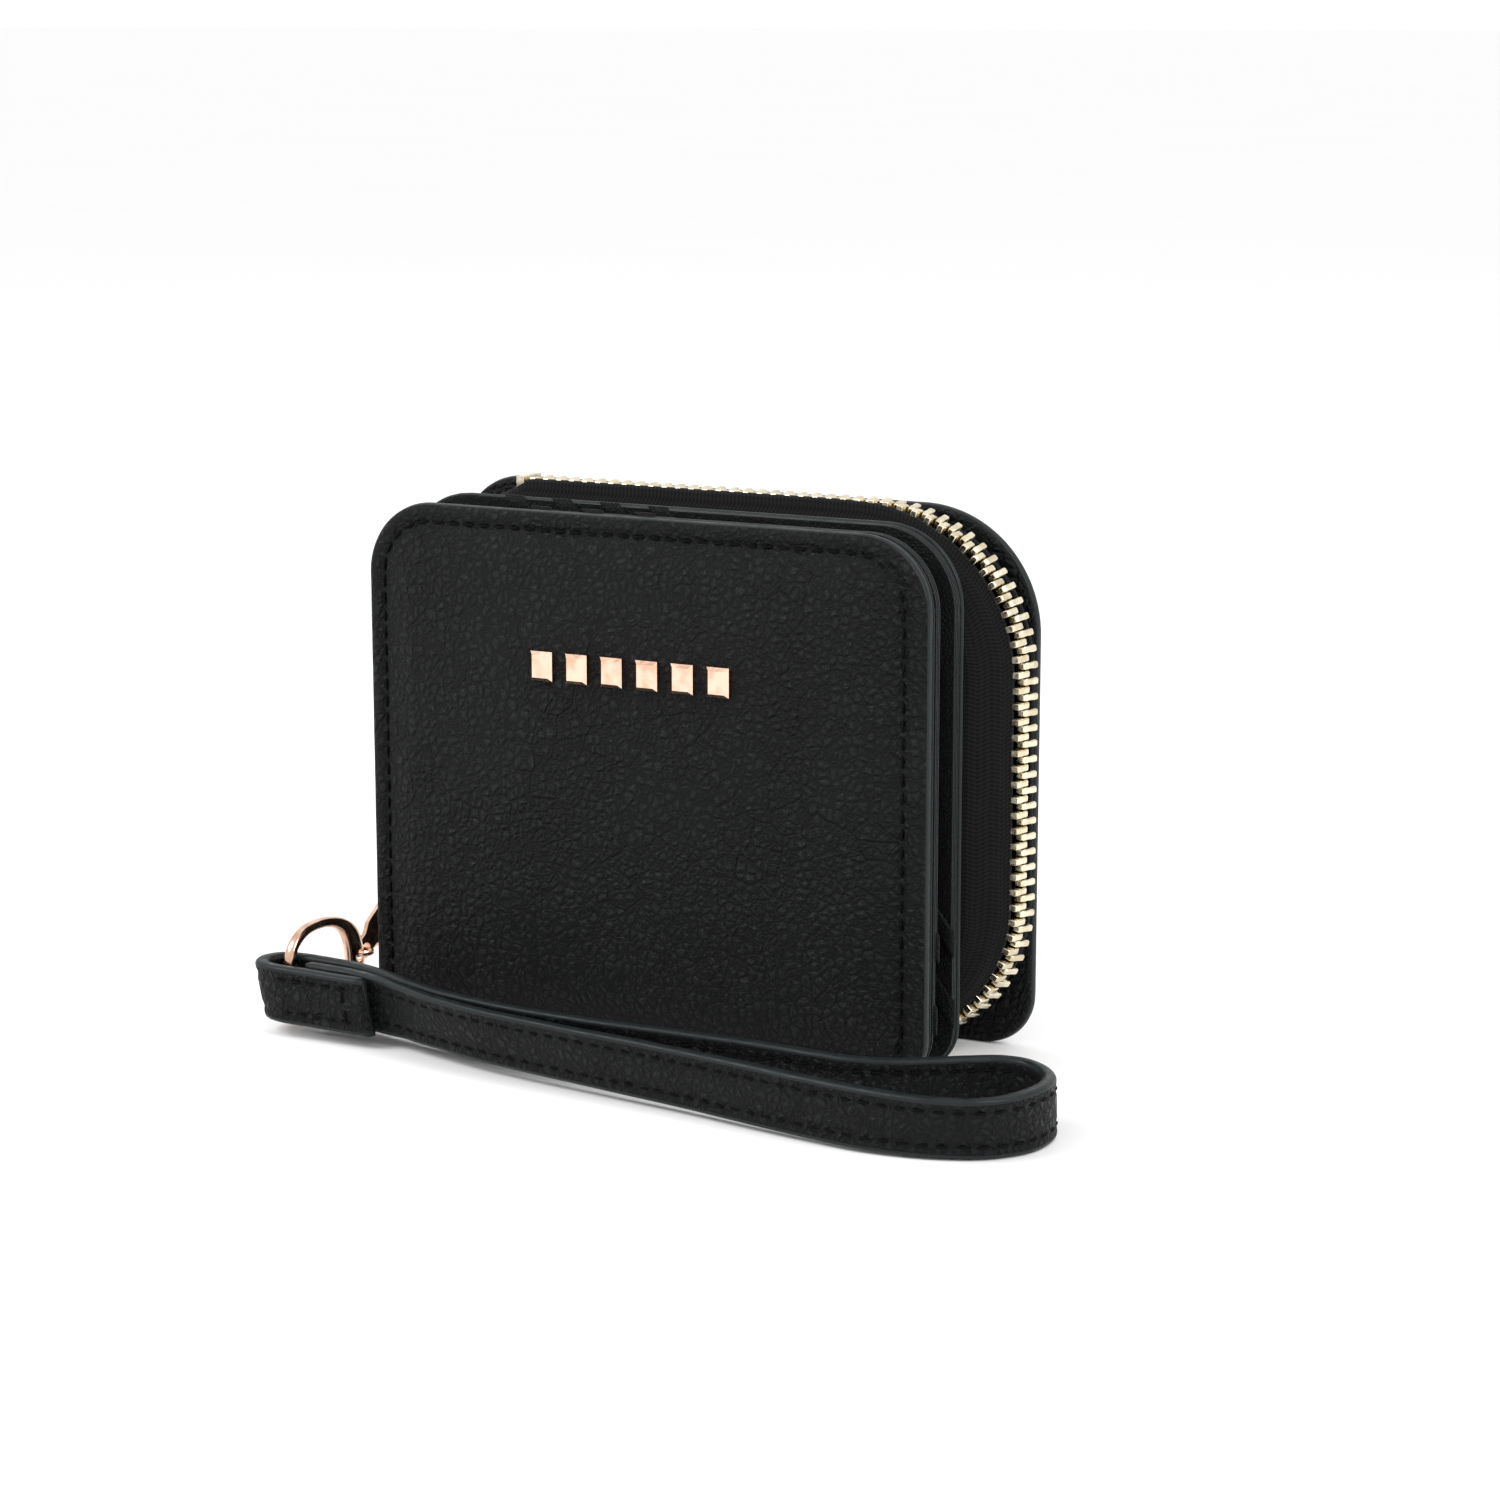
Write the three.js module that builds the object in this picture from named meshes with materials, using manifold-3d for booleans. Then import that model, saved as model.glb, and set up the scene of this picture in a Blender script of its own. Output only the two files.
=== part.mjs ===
// A small zip around wallet with a bifold flap, a clip-on wrist strap and a metal zip.
// Millimetres, +Z up. The wallet is laid out from the lower left corner of its flap:
// X runs along the flap, Y runs back through the layers, Z runs up from the floor.
// At the end the whole wallet is shifted so that its origin is the middle of its base.

import * as THREE from 'three';
import { mergeVertices } from 'three/addons/utils/BufferGeometryUtils.js';
import Module from 'manifold-3d';

// ---- driving dimensions ----
const CURVE_SEGMENTS = 6;
const LAYER_GAP = 0.1;
const ROUND_SIDES = 16;

// Cutting tools: long enough to pass right through, or larger than the whole wallet.
const THROUGH = 10;
const HALF_SPACE = { size: 300, depth: 60 };

const FLAP = { left: 0, right: 110, bottom: 0.3, top: 94, tl: 13, tr: 13, br: 8, bl: 8 };
const CENTRE = { left: 0, right: 110.6, bottom: 0, top: 94.5, tl: 14, tr: 14, br: 8, bl: 8 };
const INNER = { left: 9, right: 105, bottom: 11, top: 84.5, radius: 20 };
const BACK = { left: -0.5, right: 116, bottom: 0, top: 95.3, tl: 13, tr: 22, br: 9.5, bl: 8 };

const COVER_LEATHER_Y = [-1.2, 1.2];
const PADDING_Y = [1.3, 2.5];
const COVER_LINING_Y = [2.6, 3.2];
const COVER_POCKET_Y = 3.3;
const CENTRE_POCKET_Y = 9.3;
const POCKET_THICKNESS = 0.5;
const CENTRE_PANEL_Y = [11.7, 12.9];
const FRONT_LINING_Y = [13.0, 13.4];
const BACK_LINING_Y = [30.3, 30.8];
const BACK_BOARD_Y = [31.1, 32.3];
const BACK_LEATHER_Y = [32.4, 34];
const PADDING_INSET = 4;
const BOARD_INSET = 3;
const LAYER_INSET = 0.4;
const SMALLEST_CORNER = 3;

const SPINE = { x: [-1.2, -0.4], y: [13.1, 31.5], z: [35, 85] };
const FLAP_HINGE = { x: [-1.9, -1.1], y: [6.2, 9.8], z: [12, 86] };

// Card pockets: each folded edge runs from a point on the top edge down to the right.
const POCKET_STARTS = [22, 32, 42, 52];
const POCKET_EDGE = { rise: 75, run: 60 };
const POCKET_SLOPE = Math.atan2(POCKET_EDGE.rise, POCKET_EDGE.run);

const MAGNET = { radius: 5, thickness: 1, x: 98, z: 49, play: 0.3 };

const STUD = { count: 6, pitch: 6.95, middle: 54.4, z: 67.2, width: 4.3, height: 5.2 };
const STUD_RELIEF = 1.8;
const STUD_BEVEL = 0.6;
const STUD_BACK_Y = -1.5;

// The zip runs along the top, down the right side, along the base and up the left side.
const ZIP = { start: 14, left: -1.75, right: 116.8, top: 95.6, bottom: 1.8 };
const ZIP_RADII = { topRight: 28, bottomRight: 26, bottomLeft: 10 };
const TAIL_TOP = 33;
const CHAIN_END_Z = 14.2;
const CHAIN_START_X = 20.5;
const TOOTH = { pitch: 2.7, length: 1.35, thickness: 2.4 };
const FRONT_TEETH_Y = [20.6, 23.3];
const REAR_TEETH_Y = [23.9, 26.6];
const BEAD_WIDTH = 0.75;
const BEAD_OFFSETS = [-0.7, 0.9];
const BEAD_PROUD = 0.05;
const FIRST_TOOTH_GAP = 0.2;
const END_STOP = { gap: 0.6, width: 1.6, below: 1.4, above: 1.2 };
const TAPE_THICKNESS = 0.7;
const FRONT_FLANGE = 8.5;
const REAR_FLANGE = 7.2;

// Each tape is sewn flat at one Y and reaches its row of teeth at another.
const FRONT_TAPE = { sewnY: 13.05, chainY: 20.3, bend: 6, innerBend: 6.4 };
const REAR_TAPE = { sewnY: 31, chainY: 26.9, bend: 1.2, innerBend: 1.9 };
const TAPE_EDGE = [0.1, 0.9];
const TAIL_TAPE = { x: [-1.65, -0.95], y: [26.9, 30.6], gap: 0.6 };
const TAPE_STEP = 5;
const BEAD_STEP = 7;

const POUCH = { left: 12, right: 104, bottom: 9.6, top: 80, front: 18.8, back: 24.8, wall: 0.8 };

const SLIDER = { bottom: 15, top: 25.5, front: 19.8, back: 27.4 };
const SLIDER_OUTER_X = [-4.2, -3.2];
const SLIDER_INNER_X = [0, 1.3];
const SLIDER_LAP = 0.5;
const SLIDER_POST = { y: [22.8, 24.4], z: [21.5, 25] };
const CROWN_LAP = 0.1;
const CROWN = { x: -6.8, y: 23.5, half: 0.35, bottom: 16.2, top: 24.5 };

const HARDWARE_X = -7;
const CLASP_X = -7.4;
const RING = { x: HARDWARE_X, y: 22.6, z: 18, radius: 1.9, wire: 0.4 };
const PULLER = {
  bottomX: -8.9, topX: -7.3, topY: 20.7, topZ: 18, bottomY: 8.5, bottomZ: 8.5, width: 6.5, thickness: 1.6,
};
const PULLER_TOP_EYE = { radius: 1.7, hole: 0.9 };
const PULLER_BOTTOM_EYE = { radius: 2, hole: 1.25 };
const PULLER_TAPER = 4;
const LINK = { x: -8.1, y: 6.3, z: 8.5, radius: 2.37, wire: 0.4 };
const CLASP_THICKNESS = 2;
const CLASP_EYE = { y: 4.2, z: 8.5, hole: 1.1 };
const CLASP_SAMPLES = 48;
const HOOK_SLOT = { y: [0, 6], z: [-1, 5] };
// The hook from its eye, over the arch and down to its tip: [y, z, half width].
const HOOK_STATIONS = [
  [3, 1.6, 1.5], [3.5, 4.6, 2.3], [3.5, 8.5, 2.6], [2.4, 12.2, 2.2], [-0.2, 15, 1.4],
  [-4, 16.6, 1], [-8.3, 17.1, 0.9], [-12.8, 16.6, 0.9], [-16.1, 14.5, 0.9], [-17.4, 11.2, 0.9],
  [-17.4, 7.6, 0.9], [-17.2, 4.8, 0.9], [-16.8, 2.8, 0.8], [-15.6, 1.5, 0.7], [-13.4, 1.2, 0.6],
];
const GATE_PIN = { y: 3, z: 2.5, radius: 0.5, play: 0.1, length: 3 };
const GATE = { tipY: -12.4, tipZ: 1.6, thickness: 1, half: 0.6, knuckle: 1.1, side: 0.1 };
const GATE_MIDDLE = { y: -3, z: 2 };
const GATE_SAMPLES = 4;

const STRAP = { thickness: 2.2, height: 10.6, tilt: 0.0168, restX: 141, steps: 170 };
const STRAP_ROUTE = [
  [13.4, -22.6], [6, -22.6], [-1, -22.5], [-6.6, -22.4], [-9.57, -21.17], [-10.8, -18.2],
  [-9.57, -15.23], [-6.6, -14], [0.5, -13.9], [7, -14.4], [15.7, -17], [24, -19.6], [33, -21.5],
  [41, -22.5], [50, -23], [62, -22.9], [76, -22], [90, -21.5], [100, -21.7], [107, -21.5],
  [112.5, -19.8], [118, -16.2], [123.5, -11.9], [128, -9], [132, -8.6], [136, -10.8],
  [138.8, -14.5], [139.8, -19.5], [138.6, -26], [134.5, -31.6], [127, -35], [116, -36],
  [104, -34.9], [90, -32.9], [74, -30.8], [56, -29], [38, -26.6], [26, -23.5], [17, -20.4],
  [8, -18.4], [2, -18.2], [-2.5, -18.2],
];

// ---- materials ----
const finish = (color, roughness, metalness) => ({ color, roughness, metalness });
const LEATHER = finish(0x222425, 0.5, 0);
const EDGE_PAINT = finish(0x2a2f30, 0.45, 0);
const LINING = finish(0x1c1c1e, 0.8, 0);
const FOAM = finish(0x3a3a3c, 0.95, 0);
const BOARD = finish(0x5a564f, 0.9, 0);
const TAPE = finish(0x151516, 0.85, 0);
const PALE_GOLD = finish(0xe1cda5, 0.28, 1);
const ROSE_GOLD = finish(0xe8bb9f, 0.2, 1);
const STEEL = finish(0x9a9a9c, 0.35, 1);

const wasm = await Module();
wasm.setup();
const wallet = new THREE.Group();

// ---- helpers ----
function addPart(name, geometry, look) {
  const mesh = new THREE.Mesh(geometry, new THREE.MeshStandardMaterial(look));
  mesh.name = name;
  wallet.add(mesh);
  return mesh;
}

function solidOf(geometry) {
  const bare = geometry.clone();
  bare.deleteAttribute('normal');
  bare.deleteAttribute('uv');
  const merged = mergeVertices(bare, 1e-4);
  const mesh = new wasm.Mesh({
    numProp: 3,
    vertProperties: new Float32Array(merged.attributes.position.array),
    triVerts: new Uint32Array(merged.index.array),
  });
  return new wasm.Manifold(mesh);
}

function geometryOf(solid) {
  const mesh = solid.getMesh();
  const geometry = new THREE.BufferGeometry();
  geometry.setAttribute('position', new THREE.BufferAttribute(mesh.vertProperties, 3));
  geometry.setIndex(new THREE.BufferAttribute(mesh.triVerts, 1));
  geometry.computeVertexNormals();
  return geometry;
}

function blockGeometry(x, y, z) {
  const geometry = new THREE.BoxGeometry(x[1] - x[0], y[1] - y[0], z[1] - z[0]);
  return geometry.translate((x[0] + x[1]) / 2, (y[0] + y[1]) / 2, (z[0] + z[1]) / 2);
}

function roundedOutline({ left, right, bottom, top, tl, tr, br, bl }) {
  const outline = new THREE.Shape();
  outline.moveTo(left + bl, bottom);
  outline.lineTo(right - br, bottom);
  outline.absarc(right - br, bottom + br, br, -Math.PI / 2, 0);
  outline.lineTo(right, top - tr);
  outline.absarc(right - tr, top - tr, tr, 0, Math.PI / 2);
  outline.lineTo(left + tl, top);
  outline.absarc(left + tl, top - tl, tl, Math.PI / 2, Math.PI);
  outline.lineTo(left, bottom + bl);
  outline.absarc(left + bl, bottom + bl, bl, Math.PI, Math.PI * 1.5);
  return outline;
}

function insetOutline(size, inset) {
  const radii = ['tl', 'tr', 'br', 'bl'].map((key) => [key, (size[key] ?? size.radius) - inset]);
  return roundedOutline({
    left: size.left + inset,
    right: size.right - inset,
    bottom: size.bottom + inset,
    top: size.top - inset,
    ...Object.fromEntries(radii.map(([key, value]) => [key, Math.max(value, SMALLEST_CORNER)])),
  });
}

// A flat sheet: an outline drawn in X and Z, thick from front to back along Y.
function sheetGeometry(outline, [front, back]) {
  const options = { depth: back - front, bevelEnabled: false, curveSegments: CURVE_SEGMENTS };
  return new THREE.ExtrudeGeometry(outline, options).rotateX(Math.PI / 2).translate(0, back, 0);
}

// A flat piece of hardware: an outline drawn in Y and Z, thick along X about the middle.
function sideGeometry(outline, middle, thickness) {
  const options = { depth: thickness, bevelEnabled: false, curveSegments: CURVE_SEGMENTS };
  const geometry = new THREE.ExtrudeGeometry(outline, options);
  geometry.rotateX(Math.PI / 2).rotateZ(Math.PI / 2);
  return geometry.translate(middle - thickness / 2, 0, 0);
}

function pinGeometry(radius, length, x, y, z) {
  const geometry = new THREE.CylinderGeometry(radius, radius, length, ROUND_SIDES);
  return geometry.rotateZ(Math.PI / 2).translate(x, y, z);
}

function flatRing({ x, y, z, radius, wire }) {
  return new THREE.TorusGeometry(radius, wire, 8, 24).translate(x, y, z);
}

// ---- flap ----
function magnetHole(outline) {
  const hole = new THREE.Path();
  hole.absarc(MAGNET.x, MAGNET.z, MAGNET.radius + MAGNET.play, 0, Math.PI * 2, true);
  outline.holes.push(hole);
  return outline;
}

function magnetGeometry(front) {
  const disc = new THREE.CylinderGeometry(MAGNET.radius, MAGNET.radius, MAGNET.thickness, 24);
  return disc.translate(MAGNET.x, front + MAGNET.thickness / 2, MAGNET.z);
}

function pocketGeometry(size, startX, front) {
  const layer = solidOf(sheetGeometry(insetOutline(size, LAYER_INSET), [front, front + POCKET_THICKNESS]));
  const { size: wide, depth } = HALF_SPACE;
  const keep = new THREE.BoxGeometry(wide, depth, wide).translate(wide / 2, 0, 0);
  keep.rotateY(POCKET_SLOPE - Math.PI / 2).translate(startX, front, size.top);
  return geometryOf(layer.intersect(solidOf(keep)));
}

function addPockets(prefix, size, starts, firstFront, direction) {
  starts.forEach((startX, index) => {
    const front = firstFront + index * direction * (POCKET_THICKNESS + LAYER_GAP);
    addPart(`${prefix}_${index + 1}`, pocketGeometry(size, startX, front), LEATHER);
  });
}

function addFlap() {
  addPart('cover_leather', sheetGeometry(insetOutline(FLAP, 0), COVER_LEATHER_Y), LEATHER);
  const padding = magnetHole(insetOutline(FLAP, PADDING_INSET));
  addPart('cover_padding', sheetGeometry(padding, PADDING_Y), FOAM);
  addPart('cover_lining', sheetGeometry(insetOutline(FLAP, LAYER_INSET), COVER_LINING_Y), LINING);
  addPart('flap_magnet', magnetGeometry(PADDING_Y[0] + LAYER_GAP), STEEL);
  addPockets('cover_pocket', FLAP, POCKET_STARTS.slice(1), COVER_POCKET_Y, 1);
}

function addStuds() {
  const half = { x: STUD.width / 2 - STUD_BEVEL, z: STUD.height / 2 - STUD_BEVEL };
  const face = new THREE.Shape();
  face.moveTo(-half.x, -half.z);
  face.lineTo(half.x, -half.z);
  face.lineTo(half.x, half.z);
  face.lineTo(-half.x, half.z);
  const options = { depth: STUD_RELIEF - 2 * STUD_BEVEL, bevelSize: STUD_BEVEL, bevelSegments: 1 };
  for (let index = 0; index < STUD.count; index += 1) {
    const solid = new THREE.ExtrudeGeometry(face, { ...options, bevelThickness: STUD_BEVEL });
    solid.rotateX(Math.PI / 2);
    const stud = addPart(`emblem_stud_${index + 1}`, solid, ROSE_GOLD);
    const x = STUD.middle + (index - (STUD.count - 1) / 2) * STUD.pitch;
    stud.position.set(x, STUD_BACK_Y - STUD_BEVEL, STUD.z);
  }
}

// ---- centre leaf and back shell ----
function addCentre() {
  const panel = magnetHole(insetOutline(CENTRE, 0));
  addPart('centre_panel', sheetGeometry(panel, CENTRE_PANEL_Y), LEATHER);
  const innermost = CENTRE_POCKET_Y + (POCKET_STARTS.length - 1) * (POCKET_THICKNESS + LAYER_GAP);
  addPockets('centre_pocket', CENTRE, POCKET_STARTS, innermost, -1);
  addPart('front_lining', sheetGeometry(insetOutline(INNER, 0), FRONT_LINING_Y), LINING);
  addPart('centre_magnet', magnetGeometry(CENTRE_PANEL_Y[0] + LAYER_GAP), STEEL);
  addPart('spine_leather', blockGeometry(SPINE.x, SPINE.y, SPINE.z), LEATHER);
  addPart('flap_hinge', blockGeometry(FLAP_HINGE.x, FLAP_HINGE.y, FLAP_HINGE.z), LEATHER);
}

function addPouch() {
  const { left, right, bottom, top, front, back, wall } = POUCH;
  const outer = solidOf(blockGeometry([left, right], [front, back], [bottom, top]));
  const hollow = blockGeometry(
    [left + wall, right - wall],
    [front + wall, back - wall],
    [bottom + wall, top + wall],
  );
  addPart('coin_pouch', geometryOf(outer.subtract(solidOf(hollow))), LINING);
}

function addBackShell() {
  addPart('back_lining', sheetGeometry(insetOutline(INNER, 0), BACK_LINING_Y), LINING);
  addPart('back_board', sheetGeometry(insetOutline(BACK, BOARD_INSET), BACK_BOARD_Y), BOARD);
  addPart('back_leather', sheetGeometry(insetOutline(BACK, 0), BACK_LEATHER_Y), LEATHER);
}

// ---- zip ----
// A curve in the XZ plane, read from a flat path whose second coordinate is the height.
class UprightCurve extends THREE.Curve {
  constructor(path) {
    super();
    this.path = path;
    this.arcLengthDivisions = 800;
  }

  getPoint(t, target = new THREE.Vector3()) {
    const point = this.path.getPoint(t);
    return target.set(point.x, 0, point.y);
  }
}

function zipPath(startX, endZ) {
  const { left, right, top, bottom } = ZIP;
  const { topRight, bottomRight, bottomLeft } = ZIP_RADII;
  const path = new THREE.Path();
  path.moveTo(startX, top);
  path.lineTo(right - topRight, top);
  path.absarc(right - topRight, top - topRight, topRight, Math.PI / 2, 0, true);
  path.lineTo(right, bottom + bottomRight);
  path.absarc(right - bottomRight, bottom + bottomRight, bottomRight, 0, -Math.PI / 2, true);
  path.lineTo(left + bottomLeft, bottom);
  path.absarc(left + bottomLeft, bottom + bottomLeft, bottomLeft, -Math.PI / 2, -Math.PI, true);
  path.lineTo(left, endZ);
  return new UprightCurve(path);
}

// Sweeps a section of [distance in from the zip, Y] points along the zip.
function zipSweep(section, path, step) {
  const shape = new THREE.Shape(section.map(([inward, y]) => new THREE.Vector2(inward, y)));
  const steps = Math.ceil(path.getLength() / step);
  return new THREE.ExtrudeGeometry(shape, { steps, extrudePath: path, bevelEnabled: false });
}

function addTapes() {
  const [outer, inner] = TAPE_EDGE;
  const frontInnerY = FRONT_TAPE.sewnY + TAPE_THICKNESS;
  const rearInnerY = REAR_TAPE.sewnY - TAPE_THICKNESS;
  const frontSection = [
    [FRONT_FLANGE, FRONT_TAPE.sewnY], [FRONT_TAPE.bend, FRONT_TAPE.sewnY], [outer, FRONT_TAPE.chainY],
    [inner, FRONT_TAPE.chainY], [FRONT_TAPE.innerBend, frontInnerY], [FRONT_FLANGE, frontInnerY],
  ];
  const rearSection = [
    [outer, REAR_TAPE.chainY], [REAR_TAPE.bend, REAR_TAPE.sewnY], [REAR_FLANGE, REAR_TAPE.sewnY],
    [REAR_FLANGE, rearInnerY], [REAR_TAPE.innerBend, rearInnerY], [inner, REAR_TAPE.chainY],
  ];
  const frontPath = zipPath(ZIP.start, TAIL_TOP);
  const rearPath = zipPath(ZIP.start, CHAIN_END_Z);
  addPart('front_zip_tape', zipSweep(frontSection.reverse(), frontPath, TAPE_STEP), TAPE);
  addPart('rear_zip_tape', zipSweep(rearSection, rearPath, TAPE_STEP), TAPE);
  const tail = blockGeometry(TAIL_TAPE.x, TAIL_TAPE.y, [CHAIN_END_Z + TAIL_TAPE.gap, TAIL_TOP]);
  addPart('zip_tail_tape', tail, TAPE);
}

function toothRow(path, toothY, beadY, phase) {
  const [inner, outer] = BEAD_OFFSETS;
  const beadSection = [[inner, beadY[0]], [outer, beadY[0]], [outer, beadY[1]], [inner, beadY[1]]];
  let row = solidOf(zipSweep(beadSection, path, BEAD_STEP));
  const length = path.getLength();
  const depth = toothY[1] - toothY[0];
  const tooth = new THREE.BoxGeometry(TOOTH.length, depth, TOOTH.thickness);
  for (let along = phase; along < length - TOOTH.length / 2; along += TOOTH.pitch) {
    const point = path.getPointAt(along / length);
    const tangent = path.getTangentAt(along / length);
    const placed = tooth.clone().rotateY(-Math.atan2(tangent.z, tangent.x));
    row = row.add(solidOf(placed.translate(point.x, (toothY[0] + toothY[1]) / 2, point.z)));
  }
  return geometryOf(row);
}

function addTeeth() {
  const path = zipPath(CHAIN_START_X, CHAIN_END_Z);
  const frontBead = [FRONT_TEETH_Y[0] - BEAD_PROUD, FRONT_TEETH_Y[0] + BEAD_WIDTH];
  const rearBead = [REAR_TEETH_Y[1] - BEAD_WIDTH, REAR_TEETH_Y[1] + BEAD_PROUD];
  const firstTooth = TOOTH.length / 2 + FIRST_TOOTH_GAP;
  const frontRow = toothRow(path, FRONT_TEETH_Y, frontBead, firstTooth);
  const rearRow = toothRow(path, REAR_TEETH_Y, rearBead, firstTooth + TOOTH.pitch / 2);
  addPart('front_zip_teeth', frontRow, PALE_GOLD);
  addPart('rear_zip_teeth', rearRow, PALE_GOLD);
  const stopX = CHAIN_START_X - END_STOP.gap;
  const stop = blockGeometry(
    [stopX - END_STOP.width, stopX],
    [FRONT_TEETH_Y[0], REAR_TEETH_Y[1]],
    [ZIP.top - END_STOP.below, ZIP.top + END_STOP.above],
  );
  addPart('zip_end_stop', stop, PALE_GOLD);
}

// ---- slider, puller and clasp ----
function addSlider() {
  const across = [SLIDER.front, SLIDER.back];
  const high = [SLIDER.bottom, SLIDER.top];
  const crownY = [CROWN.y - CROWN.half, CROWN.y + CROWN.half];
  const crownOut = CROWN.x - CROWN.half;
  const leg = 2 * CROWN.half;
  const crownX = [crownOut, SLIDER_OUTER_X[1] - SLIDER_LAP];
  const postX = [SLIDER_OUTER_X[0] + SLIDER_LAP, SLIDER_INNER_X[1] - SLIDER_LAP];
  const bridgeZ = [CROWN.bottom + CROWN_LAP, CROWN.top - CROWN_LAP];
  const pieces = [
    blockGeometry(SLIDER_OUTER_X, across, high),
    blockGeometry(SLIDER_INNER_X, across, high),
    blockGeometry(postX, SLIDER_POST.y, SLIDER_POST.z),
    blockGeometry(crownX, crownY, [CROWN.bottom, CROWN.bottom + leg]),
    blockGeometry(crownX, crownY, [CROWN.top - leg, CROWN.top]),
    blockGeometry([crownOut, CROWN.x + CROWN.half], crownY, bridgeZ),
  ];
  const body = pieces.map(solidOf).reduce((whole, piece) => whole.add(piece));
  addPart('zip_slider', geometryOf(body), ROSE_GOLD);
}

// A flat bar between two round eyes, drawn with its length along X, the first eye at zero.
function barOutline(length, firstRadius, lastRadius, halfWidth, taper) {
  const outline = new THREE.Shape();
  outline.absarc(0, 0, firstRadius, Math.PI / 2, Math.PI * 1.5);
  outline.lineTo(taper, -halfWidth);
  outline.lineTo(length - taper, -halfWidth);
  outline.absarc(length, 0, lastRadius, -Math.PI / 2, Math.PI / 2);
  outline.lineTo(length - taper, halfWidth);
  outline.lineTo(taper, halfWidth);
  return outline;
}

function roundHole(x, y, radius) {
  const hole = new THREE.Path();
  hole.absarc(x, y, radius, 0, Math.PI * 2, true);
  return hole;
}

function addPuller() {
  const run = {
    x: PULLER.topX - PULLER.bottomX,
    y: PULLER.topY - PULLER.bottomY,
    z: PULLER.topZ - PULLER.bottomZ,
  };
  const level = Math.hypot(run.x, run.y);
  const length = Math.hypot(level, run.z);
  const low = PULLER_BOTTOM_EYE;
  const high = PULLER_TOP_EYE;
  const outline = barOutline(length, low.radius, high.radius, PULLER.width / 2, PULLER_TAPER);
  outline.holes.push(roundHole(0, 0, low.hole), roundHole(length, 0, high.hole));
  const geometry = sideGeometry(outline, 0, PULLER.thickness);
  const puller = addPart('zip_puller', geometry, ROSE_GOLD);
  puller.rotation.order = 'ZXY';
  puller.rotation.x = Math.atan2(run.z, level);
  puller.rotation.z = -Math.atan2(run.x, run.y);
  puller.position.set(PULLER.bottomX, PULLER.bottomY, PULLER.bottomZ);
  addPart('puller_ring', flatRing(RING), ROSE_GOLD);
  addPart('clasp_link_ring', flatRing(LINK), ROSE_GOLD);
}

// A band of changing width along a curve: [y, z, half width] stations from end to end.
function bandOutline(stations, samples) {
  const middle = new THREE.CatmullRomCurve3(stations.map(([y, z, half]) => new THREE.Vector3(y, z, half)));
  const sides = [[], []];
  for (let index = 0; index <= samples; index += 1) {
    const point = middle.getPointAt(index / samples);
    const tangent = middle.getTangentAt(index / samples);
    const across = new THREE.Vector2(-tangent.y, tangent.x).setLength(point.z);
    sides[0].push(new THREE.Vector2(point.x + across.x, point.y + across.y));
    sides[1].unshift(new THREE.Vector2(point.x - across.x, point.y - across.y));
  }
  return new THREE.Shape([...sides[0], ...sides[1]]);
}

function addClasp() {
  const halfSlot = GATE.thickness / 2 + GATE.side;
  const eye = pinGeometry(CLASP_EYE.hole, THROUGH, CLASP_X, CLASP_EYE.y, CLASP_EYE.z);
  const boreRadius = GATE_PIN.radius + GATE_PIN.play;
  const pinBore = solidOf(pinGeometry(boreRadius, THROUGH, CLASP_X, GATE_PIN.y, GATE_PIN.z));
  const slot = blockGeometry([CLASP_X - halfSlot, CLASP_X + halfSlot], HOOK_SLOT.y, HOOK_SLOT.z);
  const band = bandOutline(HOOK_STATIONS, CLASP_SAMPLES);
  const hook = [solidOf(eye), pinBore, solidOf(slot)].reduce(
    (whole, cut) => whole.subtract(cut),
    solidOf(sideGeometry(band, CLASP_X, CLASP_THICKNESS)),
  );
  addPart('clasp_hook', geometryOf(hook), ROSE_GOLD);
  const pin = pinGeometry(GATE_PIN.radius, GATE_PIN.length, CLASP_X, GATE_PIN.y, GATE_PIN.z);
  addPart('clasp_gate_pin', pin, ROSE_GOLD);
  const knuckle = pinGeometry(GATE.knuckle, GATE.thickness, CLASP_X, GATE_PIN.y, GATE_PIN.z);
  const gateStations = [
    [GATE.tipY, GATE.tipZ, GATE.half],
    [GATE_MIDDLE.y, GATE_MIDDLE.z, GATE.half],
    [GATE_PIN.y, GATE_PIN.z, GATE.half],
  ];
  const arm = sideGeometry(bandOutline(gateStations, GATE_SAMPLES), CLASP_X, GATE.thickness);
  const gate = solidOf(knuckle).add(solidOf(arm)).subtract(pinBore);
  addPart('clasp_gate', geometryOf(gate), ROSE_GOLD);
}

// ---- wrist strap ----
// One flat strap on edge: it folds round the clasp, runs out, loops back and ends in the fold.
function addStrap() {
  const points = STRAP_ROUTE.map(([x, y]) => new THREE.Vector3(x, y, 0));
  const route = new THREE.CatmullRomCurve3(points);
  route.arcLengthDivisions = 1200;
  const section = new THREE.Shape();
  const half = STRAP.thickness / 2;
  section.moveTo(-STRAP.height, -half);
  section.lineTo(0, -half);
  section.lineTo(0, half);
  section.lineTo(-STRAP.height, half);
  const options = { steps: STRAP.steps, extrudePath: route, bevelEnabled: false };
  const strap = addPart('wrist_strap', new THREE.ExtrudeGeometry(section, options), EDGE_PAINT);
  strap.rotation.y = STRAP.tilt;
  strap.position.z = STRAP.restX * Math.sin(STRAP.tilt);
}

addFlap();
addStuds();
addCentre();
addPouch();
addBackShell();
addTapes();
addTeeth();
addSlider();
addPuller();
addClasp();
addStrap();

const bounds = new THREE.Box3().setFromObject(wallet, true);
wallet.position.set(
  -(bounds.min.x + bounds.max.x) / 2,
  -(bounds.min.y + bounds.max.y) / 2,
  -bounds.min.z,
);

export default wallet;
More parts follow.
